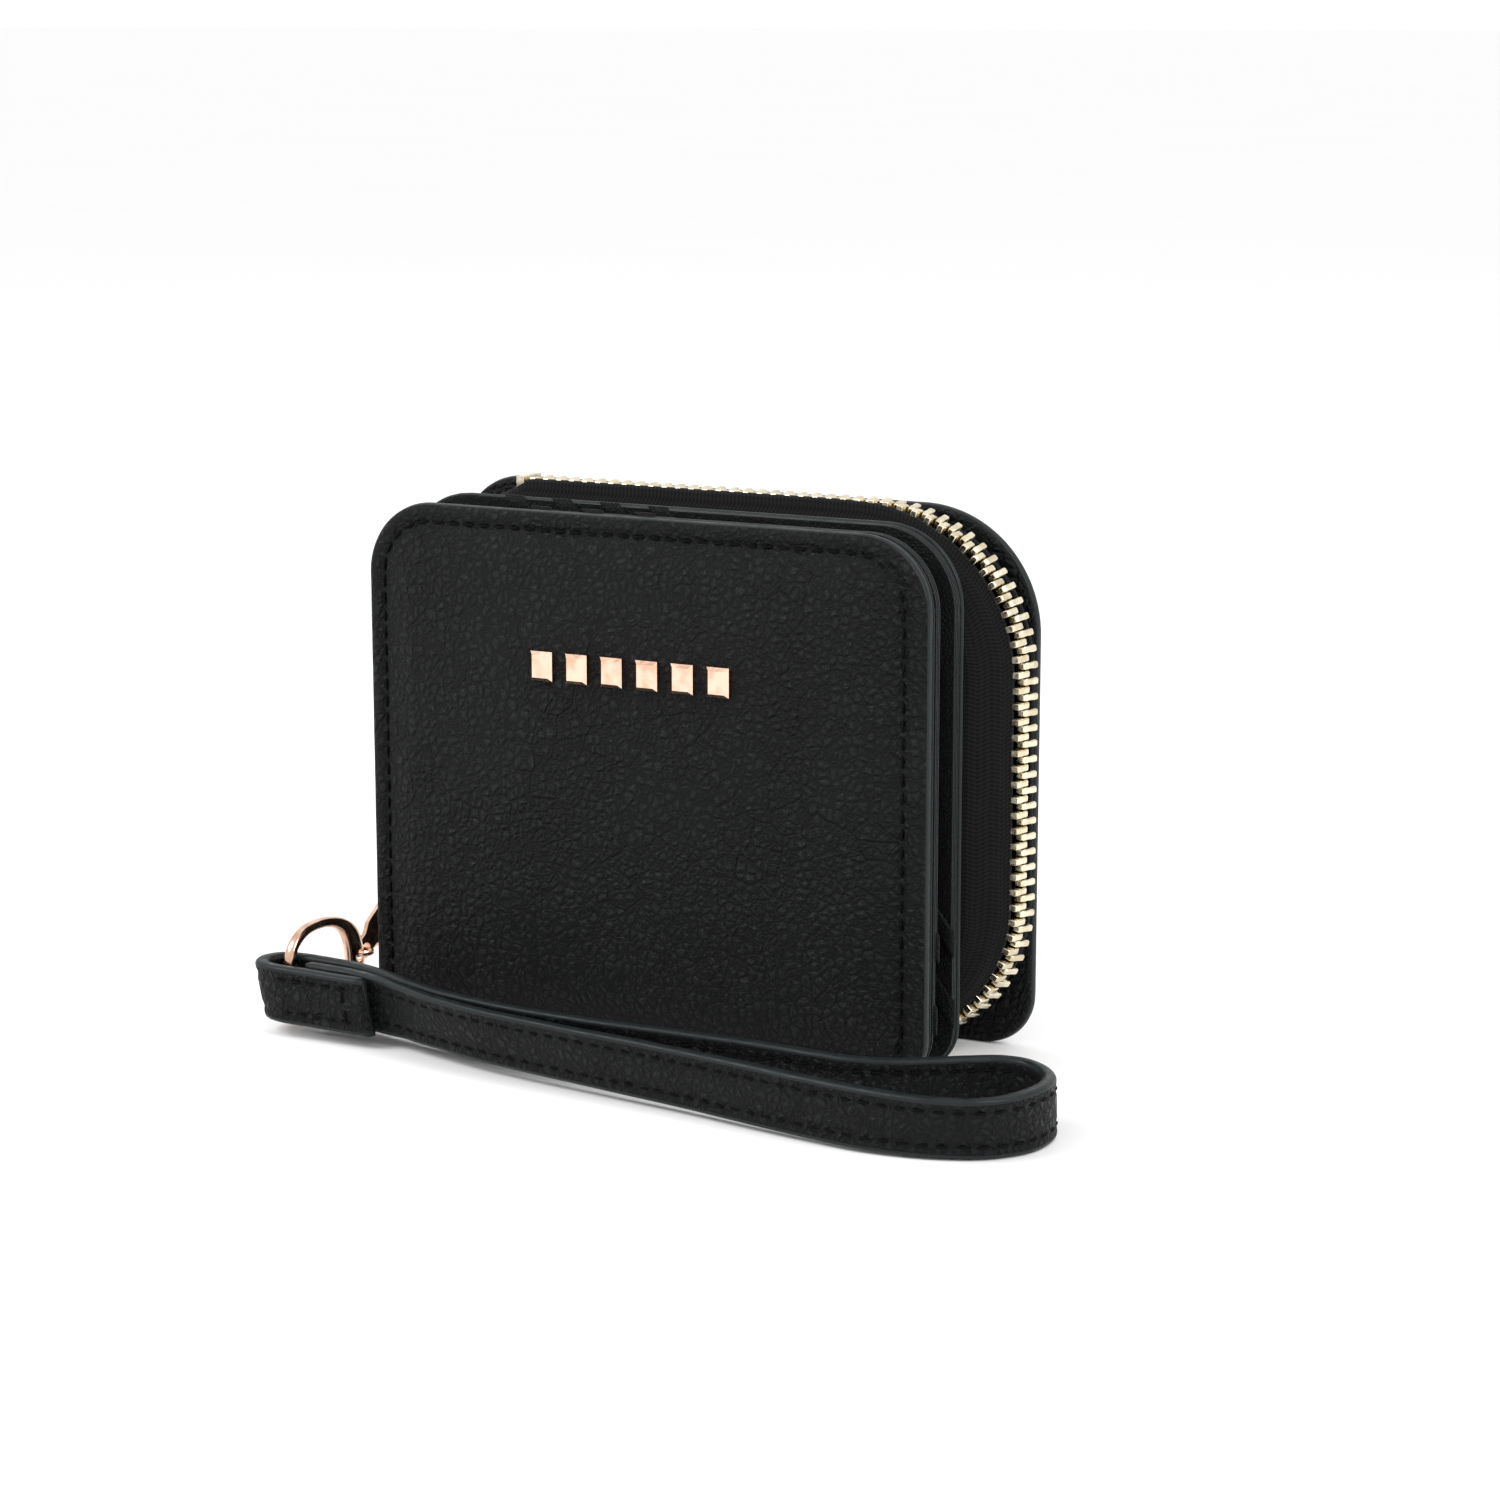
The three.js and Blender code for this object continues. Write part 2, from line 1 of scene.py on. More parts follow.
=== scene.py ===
# A small zip around wallet with a bifold flap, a clip-on wrist strap and a metal zip.
# Lengths below are millimetres in the wallet's own layout: X along the flap from its left
# edge, Y back through the layers, Z up from the floor. row() turns them into the frame's metres.
import math
import random

import bmesh
import bpy
from mathutils import Matrix, Vector, noise


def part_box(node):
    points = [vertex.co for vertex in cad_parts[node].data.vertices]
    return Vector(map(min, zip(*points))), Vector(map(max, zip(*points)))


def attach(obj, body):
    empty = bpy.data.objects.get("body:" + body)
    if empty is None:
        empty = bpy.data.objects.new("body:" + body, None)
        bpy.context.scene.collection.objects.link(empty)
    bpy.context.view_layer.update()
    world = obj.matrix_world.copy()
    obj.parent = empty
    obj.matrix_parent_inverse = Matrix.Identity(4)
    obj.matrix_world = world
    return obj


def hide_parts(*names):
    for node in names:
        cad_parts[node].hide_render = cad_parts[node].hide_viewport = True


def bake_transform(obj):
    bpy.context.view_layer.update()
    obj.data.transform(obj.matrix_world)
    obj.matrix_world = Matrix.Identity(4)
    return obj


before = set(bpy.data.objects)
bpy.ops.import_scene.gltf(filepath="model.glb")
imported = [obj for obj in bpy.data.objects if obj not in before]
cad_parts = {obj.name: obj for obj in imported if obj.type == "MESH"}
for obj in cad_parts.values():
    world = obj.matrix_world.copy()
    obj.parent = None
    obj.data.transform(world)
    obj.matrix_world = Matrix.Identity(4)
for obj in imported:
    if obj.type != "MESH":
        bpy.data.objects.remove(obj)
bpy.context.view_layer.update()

MM = 0.001
FLAP_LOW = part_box("cover_leather")[0]
COVER_FRONT_Y = -1.2
FLAP_BOTTOM = 0.3
SHIFT = Vector((FLAP_LOW.x, FLAP_LOW.y - COVER_FRONT_Y * MM, FLAP_LOW.z - FLAP_BOTTOM * MM))


def row(x, y, z):
    return Vector((x * MM, y * MM, z * MM)) + SHIFT


def new_object(name, data):
    item = bpy.data.objects.new(name, data)
    bpy.context.scene.collection.objects.link(item)
    return item


def cad_box(node):
    """A CAD node's lowest and highest corner in the wallet's own millimetres."""
    low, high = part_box(node)
    return (low - SHIFT) / MM, (high - SHIFT) / MM


# ---- camera ----
CAMERA_AZIMUTH = math.radians(27.62)
CAMERA_ELEVATION = math.radians(11.32)
CAMERA_DISTANCE = 621.9
CAMERA_TARGET = (76.58, 0, 55.53)
CAMERA_LENS = 87.67


def make_camera():
    data = bpy.data.cameras.new("camera")
    data.lens = CAMERA_LENS
    data.sensor_width = 36
    data.clip_start = 0.01
    camera = new_object("camera", data)
    level = math.cos(CAMERA_ELEVATION)
    back = Vector((
        math.sin(CAMERA_AZIMUTH) * level,
        -math.cos(CAMERA_AZIMUTH) * level,
        math.sin(CAMERA_ELEVATION),
    ))
    camera.location = row(*CAMERA_TARGET) + back * CAMERA_DISTANCE * MM
    camera.rotation_euler = back.to_track_quat("Z", "Y").to_euler()
    bpy.context.scene.camera = camera


# ---- the shared sizes of the layers ----
FLAP = dict(left=0, right=110, bottom=0.3, top=94, tl=13, tr=13, br=8, bl=8)
CENTRE = dict(left=0, right=110.6, bottom=0, top=94.5, tl=14, tr=14, br=8, bl=8)
BACK = dict(left=-0.5, right=116, bottom=0, top=95.3, tl=13, tr=22, br=9.5, bl=8)
INNER = dict(left=9, right=105, bottom=11, top=84.5, tl=20, tr=20, br=20, bl=20)
POCKET_STARTS = (22, 32, 42, 52)
POCKET_RUN = Vector((60, -75)).normalized()
ZIP = dict(left=-1.75, right=116.8, top=95.6, bottom=1.8, tr=28, br=26, bl=10)
ZIP_START_X = 14
CHAIN_START_X = 20.5
CHAIN_END_Z = 14.2
TAIL_TOP = 33


# ---- materials ----
class Shader:
    """A short way to write a node material."""

    def __init__(self, name, color, roughness, metallic=0.0, **sockets):
        self.material = bpy.data.materials.new(name)
        self.material.use_nodes = True
        self.tree = self.material.node_tree
        self.bsdf = self.tree.nodes["Principled BSDF"]
        self.bsdf.inputs["Base Color"].default_value = (*color, 1)
        self.bsdf.inputs["Roughness"].default_value = roughness
        self.bsdf.inputs["Metallic"].default_value = metallic
        for key, value in sockets.items():
            self.bsdf.inputs[key.replace("_", " ")].default_value = value
        self.coordinates = self.add("ShaderNodeTexCoord").outputs["Object"]

    def add(self, kind, **values):
        node = self.tree.nodes.new(kind)
        for key, value in values.items():
            if hasattr(node, key):
                setattr(node, key, value)
            else:
                node.inputs[key.replace("_", " ")].default_value = value
        return node

    def link(self, source, target):
        self.tree.links.new(source, target)

    def math(self, operation, first, second=0.0):
        node = self.add("ShaderNodeMath", operation=operation)
        for socket, value in zip(node.inputs, (first, second)):
            if isinstance(value, (int, float)):
                socket.default_value = value
            else:
                self.link(value, socket)
        return node.outputs[0]

    def plus(self, base, extra, share):
        """base + extra * share"""
        return self.math("ADD", base, self.math("MULTIPLY", extra, share))

    def noise(self, scale, detail):
        node = self.add("ShaderNodeTexNoise", Scale=scale, Detail=detail)
        self.link(self.coordinates, node.inputs["Vector"])
        return node.outputs["Fac"]

    def cells(self, scale, vector):
        node = self.add("ShaderNodeTexVoronoi", feature="DISTANCE_TO_EDGE", Scale=scale)
        self.link(vector, node.inputs["Vector"])
        return node.outputs["Distance"]

    def warped(self, scale, amount):
        """Object coordinates pushed about by a slow noise, so that no pattern runs straight."""
        node = self.add("ShaderNodeTexNoise", Scale=scale, Detail=2.0)
        self.link(self.coordinates, node.inputs["Vector"])
        mix = self.add("ShaderNodeVectorMath", operation="MULTIPLY_ADD")
        self.link(node.outputs["Color"], mix.inputs[0])
        mix.inputs[1].default_value = (amount, amount, amount)
        self.link(self.coordinates, mix.inputs[2])
        return mix.outputs[0]

    def remap(self, value, low, high, new_low=0.0, new_high=1.0):
        node = self.add("ShaderNodeMapRange", interpolation_type="SMOOTHSTEP")
        self.link(value, node.inputs["Value"])
        for key, number in zip(("From Min", "From Max", "To Min", "To Max"), (low, high, new_low, new_high)):
            node.inputs[key].default_value = number
        return node.outputs["Result"]

    def tint(self, factor, dark, light):
        node = self.add("ShaderNodeMix", data_type="RGBA")
        self.link(factor, node.inputs["Factor"])
        node.inputs["A"].default_value = (*dark, 1)
        node.inputs["B"].default_value = (*light, 1)
        self.link(node.outputs["Result"], self.bsdf.inputs["Base Color"])

    def rough(self, value):
        self.link(value, self.bsdf.inputs["Roughness"])

    def bump(self, height, distance, strength=1.0):
        node = self.add("ShaderNodeBump", Distance=distance, Strength=strength)
        self.link(height, node.inputs["Height"])
        self.link(node.outputs["Normal"], self.bsdf.inputs["Normal"])


def pebbled_leather(name="pebbled_leather", grain=620, depth=0.0006, shine=0.34):
    """Pebble grain: rounded cells with soft valleys, finer pores, long creases and crests worn shinier; the
    colour is painted shade, darkest in the valleys and creases.
    """
    shader = Shader(name, (0.004, 0.005, 0.005), 0.45, Specular_IOR_Level=0.14)
    warped = shader.warped(220, 0.0018)
    pebbles = shader.remap(shader.cells(grain, warped), 0.0, 0.42)
    small = shader.remap(shader.cells(grain * 2.3, warped), 0.0, 0.3)
    creases = shader.remap(shader.cells(grain * 0.33, warped), 0.0, 0.07)
    patches = shader.remap(shader.noise(60, 3), 0.40, 0.62)
    pores = shader.noise(6500, 2)
    height = shader.math("MULTIPLY_ADD", small, 0.22)
    shader.link(shader.math("MULTIPLY", pebbles, 0.72), height.node.inputs[2])
    height = shader.plus(height, pores, 0.05)
    fold = shader.math("MULTIPLY", shader.math("SUBTRACT", creases, 1.0), patches)
    height = shader.plus(height, fold, 0.45)
    # Painted shade: the base colour follows the grain's height, dark in the valleys and creases and lighter
    # on the crests.
    shader.tint(height, (0.0012, 0.0014, 0.0015), (0.0068, 0.0077, 0.0082))
    shader.rough(shader.remap(height, 0.1, 0.95, shine + 0.24, shine))
    calm = shader.remap(shader.noise(34, 2), 0.35, 0.65, 0.45, 1.0)
    shader.bump(shader.math("MULTIPLY", height, calm), depth)
    return shader.material


def edge_paint():
    shader = Shader("edge_paint", (0.014, 0.018, 0.019), 0.42, Specular_IOR_Level=0.17)
    waves = shader.noise(420, 3)
    shader.tint(waves, (0.007, 0.0095, 0.010), (0.014, 0.018, 0.0185))
    shader.rough(shader.remap(waves, 0.3, 0.7, 0.3, 0.48))
    shader.bump(shader.plus(waves, shader.noise(2600, 3), 0.3), 0.00012)
    return shader.material


def thread():
    shader = Shader("thread", (0.010, 0.010, 0.011), 0.6, Specular_IOR_Level=0.06)
    twist = shader.add("ShaderNodeTexWave", Scale=900.0, bands_direction="DIAGONAL", Distortion=1.0)
    shader.link(shader.coordinates, twist.inputs["Vector"])
    shader.tint(twist.outputs["Fac"], (0.001, 0.001, 0.0012), (0.0045, 0.0045, 0.005))
    shader.bump(twist.outputs["Fac"], 0.00008)
    return shader.material


def lining_cloth():
    shader = Shader("lining_cloth", (0.014, 0.014, 0.015), 0.8, Sheen_Weight=0.1, Specular_IOR_Level=0.2)
    across = shader.add("ShaderNodeTexWave", Scale=520.0, bands_direction="X")
    upward = shader.add("ShaderNodeTexWave", Scale=520.0, bands_direction="Z")
    for wave in (across, upward):
        shader.link(shader.coordinates, wave.inputs["Vector"])
    weave = shader.math("MULTIPLY", across.outputs["Fac"], upward.outputs["Fac"])
    shader.tint(weave, (0.006, 0.006, 0.007), (0.022, 0.022, 0.024))
    shader.bump(shader.plus(weave, shader.noise(300, 3), 0.4), 0.00012)
    return shader.material


def zip_tape_cloth():
    """Herringbone tape: fine ribs that lean one way then the other, in rows along the tape."""
    shader = Shader("zip_tape_cloth", (0.010, 0.010, 0.011), 0.75, Sheen_Weight=0.02, Specular_IOR_Level=0.06)
    mapped = shader.add("ShaderNodeUVMap").outputs["UV"]
    split = shader.add("ShaderNodeSeparateXYZ")
    shader.link(mapped, split.inputs[0])
    along, across = split.outputs["X"], split.outputs["Y"]
    zigzag = shader.math("PINGPONG", across, 1.0)
    ribs = shader.math("FRACT", shader.math("ADD", shader.math("MULTIPLY", along, 1.35), zigzag))
    rib = shader.math("PINGPONG", shader.math("MULTIPLY", ribs, 2.0), 1.0)
    yarns = shader.math("PINGPONG", shader.math("MULTIPLY", across, 4.0), 1.0)
    height = shader.plus(rib, yarns, 0.45)
    height = shader.plus(height, shader.noise(5200, 2), 0.5)
    shader.tint(shader.remap(height, 0.2, 1.6), (0.001, 0.001, 0.0012), (0.0075, 0.0075, 0.008))
    shader.bump(height, 0.00012, 0.8)
    return shader.material


def plated_metal(name, color, dark, roughness):
    shader = Shader(name, color, roughness, metallic=1.0)
    wear = shader.noise(320, 5)
    shader.tint(shader.remap(wear, 0.3, 0.62), dark, color)
    shader.rough(shader.remap(shader.noise(900, 4), 0.3, 0.75, roughness * 0.7, roughness * 1.5))
    shader.bump(shader.noise(2400, 3), 0.00001, 0.5)
    return shader.material


LEATHER = pebbled_leather()
SMOOTH_LEATHER = pebbled_leather("smooth_leather", grain=1500, depth=0.0002, shine=0.4)
EDGE = edge_paint()
THREAD = thread()
CLOTH = lining_cloth()
TAPE = zip_tape_cloth()
PALE_GOLD = plated_metal("pale_gold", (0.80, 0.73, 0.56), (0.62, 0.53, 0.37), 0.24)
STEEL = plated_metal("magnet_steel", (0.62, 0.62, 0.64), (0.45, 0.45, 0.47), 0.32)
ROSE_GOLD = plated_metal("rose_gold", (0.82, 0.56, 0.43), (0.62, 0.38, 0.27), 0.14)


# ---- mesh helpers ----
def circle(sides):
    """(cosine, sine) of evenly spaced angles, once round."""
    angles = [2 * math.pi * k / sides for k in range(sides)]
    return [(math.cos(angle), math.sin(angle)) for angle in angles]


def arc(x, y, radius, start, turn, steps):
    """Points along an arc that begins at start degrees and turns through turn degrees."""
    angles = [math.radians(start + turn * k / steps) for k in range(steps + 1)]
    return [(x + radius * math.cos(angle), y + radius * math.sin(angle)) for angle in angles]


def direction_at(path, i):
    """The way a path of vectors runs at its point i, from the points on either side."""
    return (path[min(i + 1, len(path) - 1)] - path[max(i - 1, 0)]).normalized()


def tube_faces(rings, sides, closed=False, first=0):
    """Faces of a tube of rings of points, capped at both ends unless it closes on itself."""
    faces = []
    for i in range(rings if closed else rings - 1):
        start, after = first + i * sides, first + (i + 1) % rings * sides
        for k in range(sides):
            n = (k + 1) % sides
            faces.append((start + k, start + n, after + n, after + k))
    if not closed:
        last = first + (rings - 1) * sides
        faces.append(tuple(first + k for k in reversed(range(sides))))
        faces.append(tuple(last + k for k in range(sides)))
    return faces


def slab_faces(count, first=0):
    """Faces of a slab between two outlines of count points: its two ends, then its sides."""
    near = [first + k for k in range(count)]
    faces = [tuple(near), tuple(k + count for k in reversed(near))]
    faces += [(a, a + count, b + count, b) for a, b in zip(near, near[1:] + near[:1])]
    return faces


def smoothstep(value, low, high):
    t = min(max((value - low) / (high - low), 0.0), 1.0)
    return t * t * (3 - 2 * t)


def finish_piece(name, verts, faces, materials, body, replaced=(), face_materials=None):
    """Makes a closed piece from millimetre points, smooth shaded, riding on its body."""
    mesh = bpy.data.meshes.new(name)
    mesh.from_pydata([row(*point) for point in verts], [], faces)
    for material in materials:
        mesh.materials.append(material)
    if face_materials:
        mesh.polygons.foreach_set("material_index", face_materials)
    mesh.polygons.foreach_set("use_smooth", [True] * len(mesh.polygons))
    tidy = bmesh.new()
    tidy.from_mesh(mesh)
    bmesh.ops.recalc_face_normals(tidy, faces=tidy.faces)
    tidy.to_mesh(mesh)
    tidy.free()
    piece = new_object(name, mesh)
    if body:
        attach(piece, body)
    if replaced:
        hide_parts(*replaced)
    return piece


def metal_piece(name, verts, faces, body, replaced=()):
    return finish_piece(name, verts, faces, [ROSE_GOLD], body, replaced)


def bevel(piece, width, segments=3, angle=30):
    modifier = piece.modifiers.new("bevel", "BEVEL")
    modifier.width = width * MM
    modifier.segments = segments
    modifier.limit_method = "ANGLE"
    modifier.angle_limit = math.radians(angle)
    modifier.harden_normals = True
    piece.data.polygons.foreach_set("use_smooth", [True] * len(piece.data.polygons))


# (side, edge, key of the radius, angle in degrees where its arc starts, going clockwise)
CORNERS = (
    ("left", "top", "tl", 180),
    ("right", "top", "tr", 90),
    ("right", "bottom", "br", 0),
    ("left", "bottom", "bl", -90),
)
OUTWARD = {"left": -1, "right": 1, "bottom": -1, "top": 1}
EDGE_STEPS = (0, 0.12, 0.3, 0.55, 0.9, 1.3, 1.8, 2.4, 2.9, 3.2, 3.5, 3.8, 4.2, 4.8, 5.6, 6.6, 8)


def grid_lines(low, high, step):
    first = [low + inset for inset in EDGE_STEPS]
    last = [high - inset for inset in reversed(EDGE_STEPS)]
    count = max(int((last[0] - first[-1]) / step), 1)
    middle = [first[-1] + (last[0] - first[-1]) * i / count for i in range(1, count)]
    return first + middle + last


def round_corner(size, x, z):
    """Moves a point of the plain rectangle into the rounded one, keeping its edge distance."""
    for side, edge, key, _ in CORNERS:
        radius = size[key]
        out_x, out_z = OUTWARD[side], OUTWARD[edge]
        middle_x = size[side] - out_x * radius
        middle_z = size[edge] - out_z * radius
        a = (x - middle_x) * out_x / radius
        b = (z - middle_z) * out_z / radius
        if a <= 0 or b <= 0:
            continue
        reach = max(a, b)
        angle = math.pi / 4 * (b / a) if a >= b else math.pi / 2 - math.pi / 4 * (a / b)
        x = middle_x + out_x * radius * reach * math.cos(angle)
        z = middle_z + out_z * radius * reach * math.sin(angle)
        break
    return x, z


def panel(name, size, front, back, body, replaced, materials, step=2.0, edge_band=0.5):
    """A sheet with a rounded rim. front and back give Y from (edge distance, x, z)."""
    xs = grid_lines(size["left"], size["right"], step)
    zs = grid_lines(size["bottom"], size["top"], step)
    verts, faces, marks = [], [], []
    index = {}
    for face_side, surface in enumerate((front, back)):
        for i, x in enumerate(xs):
            for j, z in enumerate(zs):
                distance = min(x - xs[0], xs[-1] - x, z - zs[0], zs[-1] - z)
                if face_side and distance < 1e-6:
                    index[1, i, j] = index[0, i, j]
                    continue
                px, pz = round_corner(size, x, z)
                index[face_side, i, j] = len(verts)
                verts.append((px, surface(distance, px, pz), pz))
        for i in range(len(xs) - 1):
            for j in range(len(zs) - 1):
                corners = [(i, j), (i + 1, j), (i + 1, j + 1), (i, j + 1)]
                ring = [index[face_side, a, b] for a, b in corners]
                faces.append(ring if face_side else ring[::-1])
                near = min(xs[i + 1] - xs[0], xs[-1] - xs[i], zs[j + 1] - zs[0], zs[-1] - zs[j])
                marks.append(1 if near <= edge_band else 0)
    return finish_piece(name, verts, faces, materials, body, replaced, marks)


def rim(distance, radius):
    """0 at the very edge, 1 once the rounded rim has reached its full height."""
    t = min(distance / radius, 1.0)
    return math.sqrt(max(1 - (1 - t) ** 2, 0.0))


def groove(distance, middle, width):
    return math.exp(-(((distance - middle) / width) ** 2))


def corner_arc(size, corner, inset, steps):
    """(x, z) points round one corner of a rounded rectangle that is drawn in by inset."""
    side, edge, key, start = corner
    radius = max(size[key] - inset, 0.5)
    x = size[side] - OUTWARD[side] * inset - OUTWARD[side] * radius
    z = size[edge] - OUTWARD[edge] * inset - OUTWARD[edge] * radius
    return arc(x, z, radius, start, -90, steps)


def outline_walk(size, inset, pitch):
    """Evenly spaced (x, z, tangent x, tangent z) along a rounded outline, once round."""
    points = []
    for corner in CORNERS:
        points += corner_arc(size, corner, inset, 24)
    points.append(points[0])
    return resample(points, pitch)


def resample(points, pitch):
    """Points about pitch apart along a line, each followed by the line's direction there."""
    lengths = [0.0]
    for a, b in zip(points, points[1:]):
        lengths.append(lengths[-1] + math.dist(a, b))
    count = max(int(lengths[-1] / pitch), 1)
    result, k = [], 0
    for n in range(count):
        target = lengths[-1] * (n + 0.5) / count
        while lengths[k + 1] < target:
            k += 1
        a, b = Vector(points[k]), Vector(points[k + 1])
        t = (target - lengths[k]) / max(lengths[k + 1] - lengths[k], 1e-9)
        tangent = (b - a).normalized()
        result.append((*(a + (b - a) * t), *tangent))
    return result


STITCH_PITCH = 3.1
STITCH_LENGTH = 2.35
THREAD_RADIUS = 0.27


def stitches(name, places, body):
    """One small arched thread for each (point, along, outward) place."""
    rng = random.Random(name)
    verts, faces = [], []
    rings = 7
    section = circle(6)
    for point, along, outward in places:
        point = Vector(point)
        along = Vector(along).normalized()
        outward = Vector(outward).normalized()
        lean = along.cross(outward) * rng.uniform(-0.05, 0.05)
        along = (along + lean).normalized()
        across = along.cross(outward)
        first = len(verts)
        for i in range(rings):
            t = i / (rings - 1) * 2 - 1
            arch = 1 - t * t
            rise = THREAD_RADIUS * (1.15 * arch - 0.75)
            centre = point + along * (t * STITCH_LENGTH / 2) + outward * rise
            size = THREAD_RADIUS * (0.45 + 0.55 * math.sqrt(max(1 - t ** 4, 0)))
            for c, s in section:
                verts.append(tuple(centre + (across * c + outward * s) * size))
        faces += tube_faces(rings, len(section), first=first)
    return finish_piece(name, verts, faces, [THREAD], body)


def panel_stitches(name, size, inset, y, body, front=True):
    """Stitches round a panel whose face stands at y."""
    outward = (0, -1, 0) if front else (0, 1, 0)
    places = []
    for x, z, tx, tz in outline_walk(size, inset, STITCH_PITCH):
        places.append(((x, y, z), (tx, 0, tz), outward))
    return stitches(name, places, body)


# ---- flap ----
STITCH_INSET = 3.3
RIGHT_STITCH_INSET = 4.6
CROWN_RISE = 1.5
COVER_SEAM_Y = 0.9
COVER_RIM = 1.3
COVER_STITCH_Y = -0.3
DENT_WIDTH = 0.75
FLAP_LINING_Y = (2.62, 3.2)


def slow(x, z, scale, seed):
    """Smooth noise over a face: scale is in millimetres, and seed picks the pattern."""
    return noise.noise(Vector((x / scale, z / scale, seed)))


def cover_front(distance, x, z):
    """A flat stitched border round a padded middle that swells forward."""
    border = COVER_SEAM_Y - 1.55 * rim(distance, COVER_RIM)
    distance = min(distance, (FLAP["right"] - x) * STITCH_INSET / RIGHT_STITCH_INSET)
    swell = smoothstep(distance, STITCH_INSET - 0.3, STITCH_INSET + 6.5)
    ease = 0.75 + 0.25 * smoothstep(distance, 8, 30)
    dent = 0.5 * groove(distance, STITCH_INSET, DENT_WIDTH)
    waver = 0.16 * slow(x, z, 17, 2.0) * swell + 0.05 * slow(x, z, 5, 7.0)
    return border - CROWN_RISE * swell * ease + dent + waver


def cover_back(distance, x, z):
    return COVER_SEAM_Y + 1.6 * rim(distance, COVER_RIM)


def thin_sheet(front_y, back_y, radius=0.35, wave=0.05):
    """The front and back surfaces of a level sheet with a rounded rim."""
    middle = (front_y + back_y) / 2

    def surface(half):
        return lambda distance, x, z: middle + half * rim(distance, radius) + wave * slow(x, z, 23, front_y)

    half = (back_y - front_y) / 2
    return surface(-half), surface(half)


def shrink(size, inset):
    smaller = {key: size[key] + inset for key in ("left", "bottom")}
    smaller.update({key: size[key] - inset for key in ("right", "top")})
    smaller.update({key: max(size[key] - inset, 1.0) for key in ("tl", "tr", "br", "bl")})
    return smaller


def make_flap():
    cover = panel("cover", FLAP, cover_front, cover_back, "flap",
                  ("cover_leather", "cover_padding"), [LEATHER, EDGE], step=1.6)
    stitched = dict(FLAP, right=FLAP["right"] - (RIGHT_STITCH_INSET - STITCH_INSET))
    panel_stitches("cover_stitches", stitched, STITCH_INSET, COVER_STITCH_Y, "flap")
    front, back = thin_sheet(*FLAP_LINING_Y)
    panel("flap_lining", shrink(FLAP, 0.4), front, back, "flap",
          ("cover_lining",), [CLOTH, EDGE], step=4)


# ---- card pockets ----
POCKET_THICKNESS = 0.5
POCKET_INSET = 0.3


def cut_point(a, b, start, normal):
    da, db = (a - start).dot(normal), (b - start).dot(normal)
    return a + (b - a) * (da / (da - db))


def pocket_outline(size, start_x, offset=0.0):
    """The rounded panel outline, kept above and right of one diagonal edge."""
    normal = Vector((-POCKET_RUN.y, POCKET_RUN.x))
    start = Vector((start_x, size["top"])) + normal * offset
    walk = [Vector(p[:2]) for p in outline_walk(size, 0, 1.5)]
    inside = [(p - start).dot(normal) > 0 for p in walk]
    first = next(i for i in range(len(walk)) if inside[i] and not inside[i - 1])
    kept = []
    i = first
    while inside[i % len(walk)]:
        kept.append(walk[i % len(walk)])
        i += 1
    before, after = walk[first - 1], walk[i % len(walk)]
    kept.insert(0, cut_point(before, kept[0], start, normal))
    kept.append(cut_point(kept[-1], after, start, normal))
    return kept


def pocket(node, size, start_x, body):
    """One pocket layer and the fold along its mouth, in place of the CAD node."""
    size = shrink(size, POCKET_INSET)
    outline = pocket_outline(size, start_x)
    count = len(outline)
    front_y = cad_box(node)[0].y
    back_y = front_y + POCKET_THICKNESS
    half = POCKET_THICKNESS / 2
    verts = [(p.x, front_y, p.y) for p in outline] + [(p.x, back_y, p.y) for p in outline]
    marks = [0, 0] + [1] * count
    layer = finish_piece(f"{node}_layer", verts, slab_faces(count), [SMOOTH_LEATHER, EDGE], body,
                         (node,), marks)
    bevel(layer, POCKET_THICKNESS * 0.4)
    folded_edge(f"{node}_fold", size, start_x, front_y + half, half, body)


FOLD_WIDTH = 3.0
FOLD_PROUD = 0.19
FOLD_KNOB = 0.7
FOLD_TUCK = 0.5


def folded_edge(name, size, start_x, middle_y, half, body):
    """The turned leather along a pocket's mouth: a flat roll that ends in small rounded knobs.

    A lower end that meets the panel's rounded corner is tucked inside the outline instead.
    """
    stations = 9
    rings = 70
    lines = []
    mouth = pocket_outline(size, start_x)
    in_corner = min(mouth[0].y, mouth[-1].y) < size["bottom"] + size["br"]
    low_knob = -FOLD_TUCK if in_corner else FOLD_KNOB
    for n in range(stations):
        outline = pocket_outline(size, start_x, FOLD_WIDTH * n / (stations - 1))
        ends = (outline[-1], outline[0])
        low, high = sorted(ends, key=lambda p: p.y)
        run = (high - low).normalized()
        lines.append((low - run * low_knob, high + run * FOLD_KNOB))
    verts = []
    for i in range(rings + 1):
        t = i / rings
        for side in (-1, 1):
            order = range(stations) if side < 0 else range(stations - 1, -1, -1)
            for n in order:
                low, high = lines[n]
                across = n / (stations - 1)
                place = low + (high - low) * t
                end = min(t, 1 - t) * (high - low).length
                round_off = rim(min(across, 1 - across) * FOLD_WIDTH + 0.12, 0.7)
                thick = (half + FOLD_PROUD) * round_off * (0.55 + 0.45 * rim(end, 0.8))
                verts.append((place.x, middle_y + side * thick, place.y))
    faces = tube_faces(rings + 1, 2 * stations)
    finish_piece(name, verts, faces, [SMOOTH_LEATHER], body)


def make_pockets():
    for number, start_x in enumerate(POCKET_STARTS[1:], 1):
        pocket(f"cover_pocket_{number}", FLAP, start_x, "flap")
    for number, start_x in enumerate(POCKET_STARTS, 1):
        pocket(f"centre_pocket_{number}", CENTRE, start_x, "centre")


# ---- centre leaf and back shell ----
CENTRE_LEAF_Y = (11.72, 12.9)
COMPARTMENTS = (("front", "centre", (13.0, 13.4)), ("back", "back_shell", (30.3, 30.8)))
BACK_SEAM_Y = 32.6
BACK_RIM = 1.1
BACK_STITCH_Y = 33.42


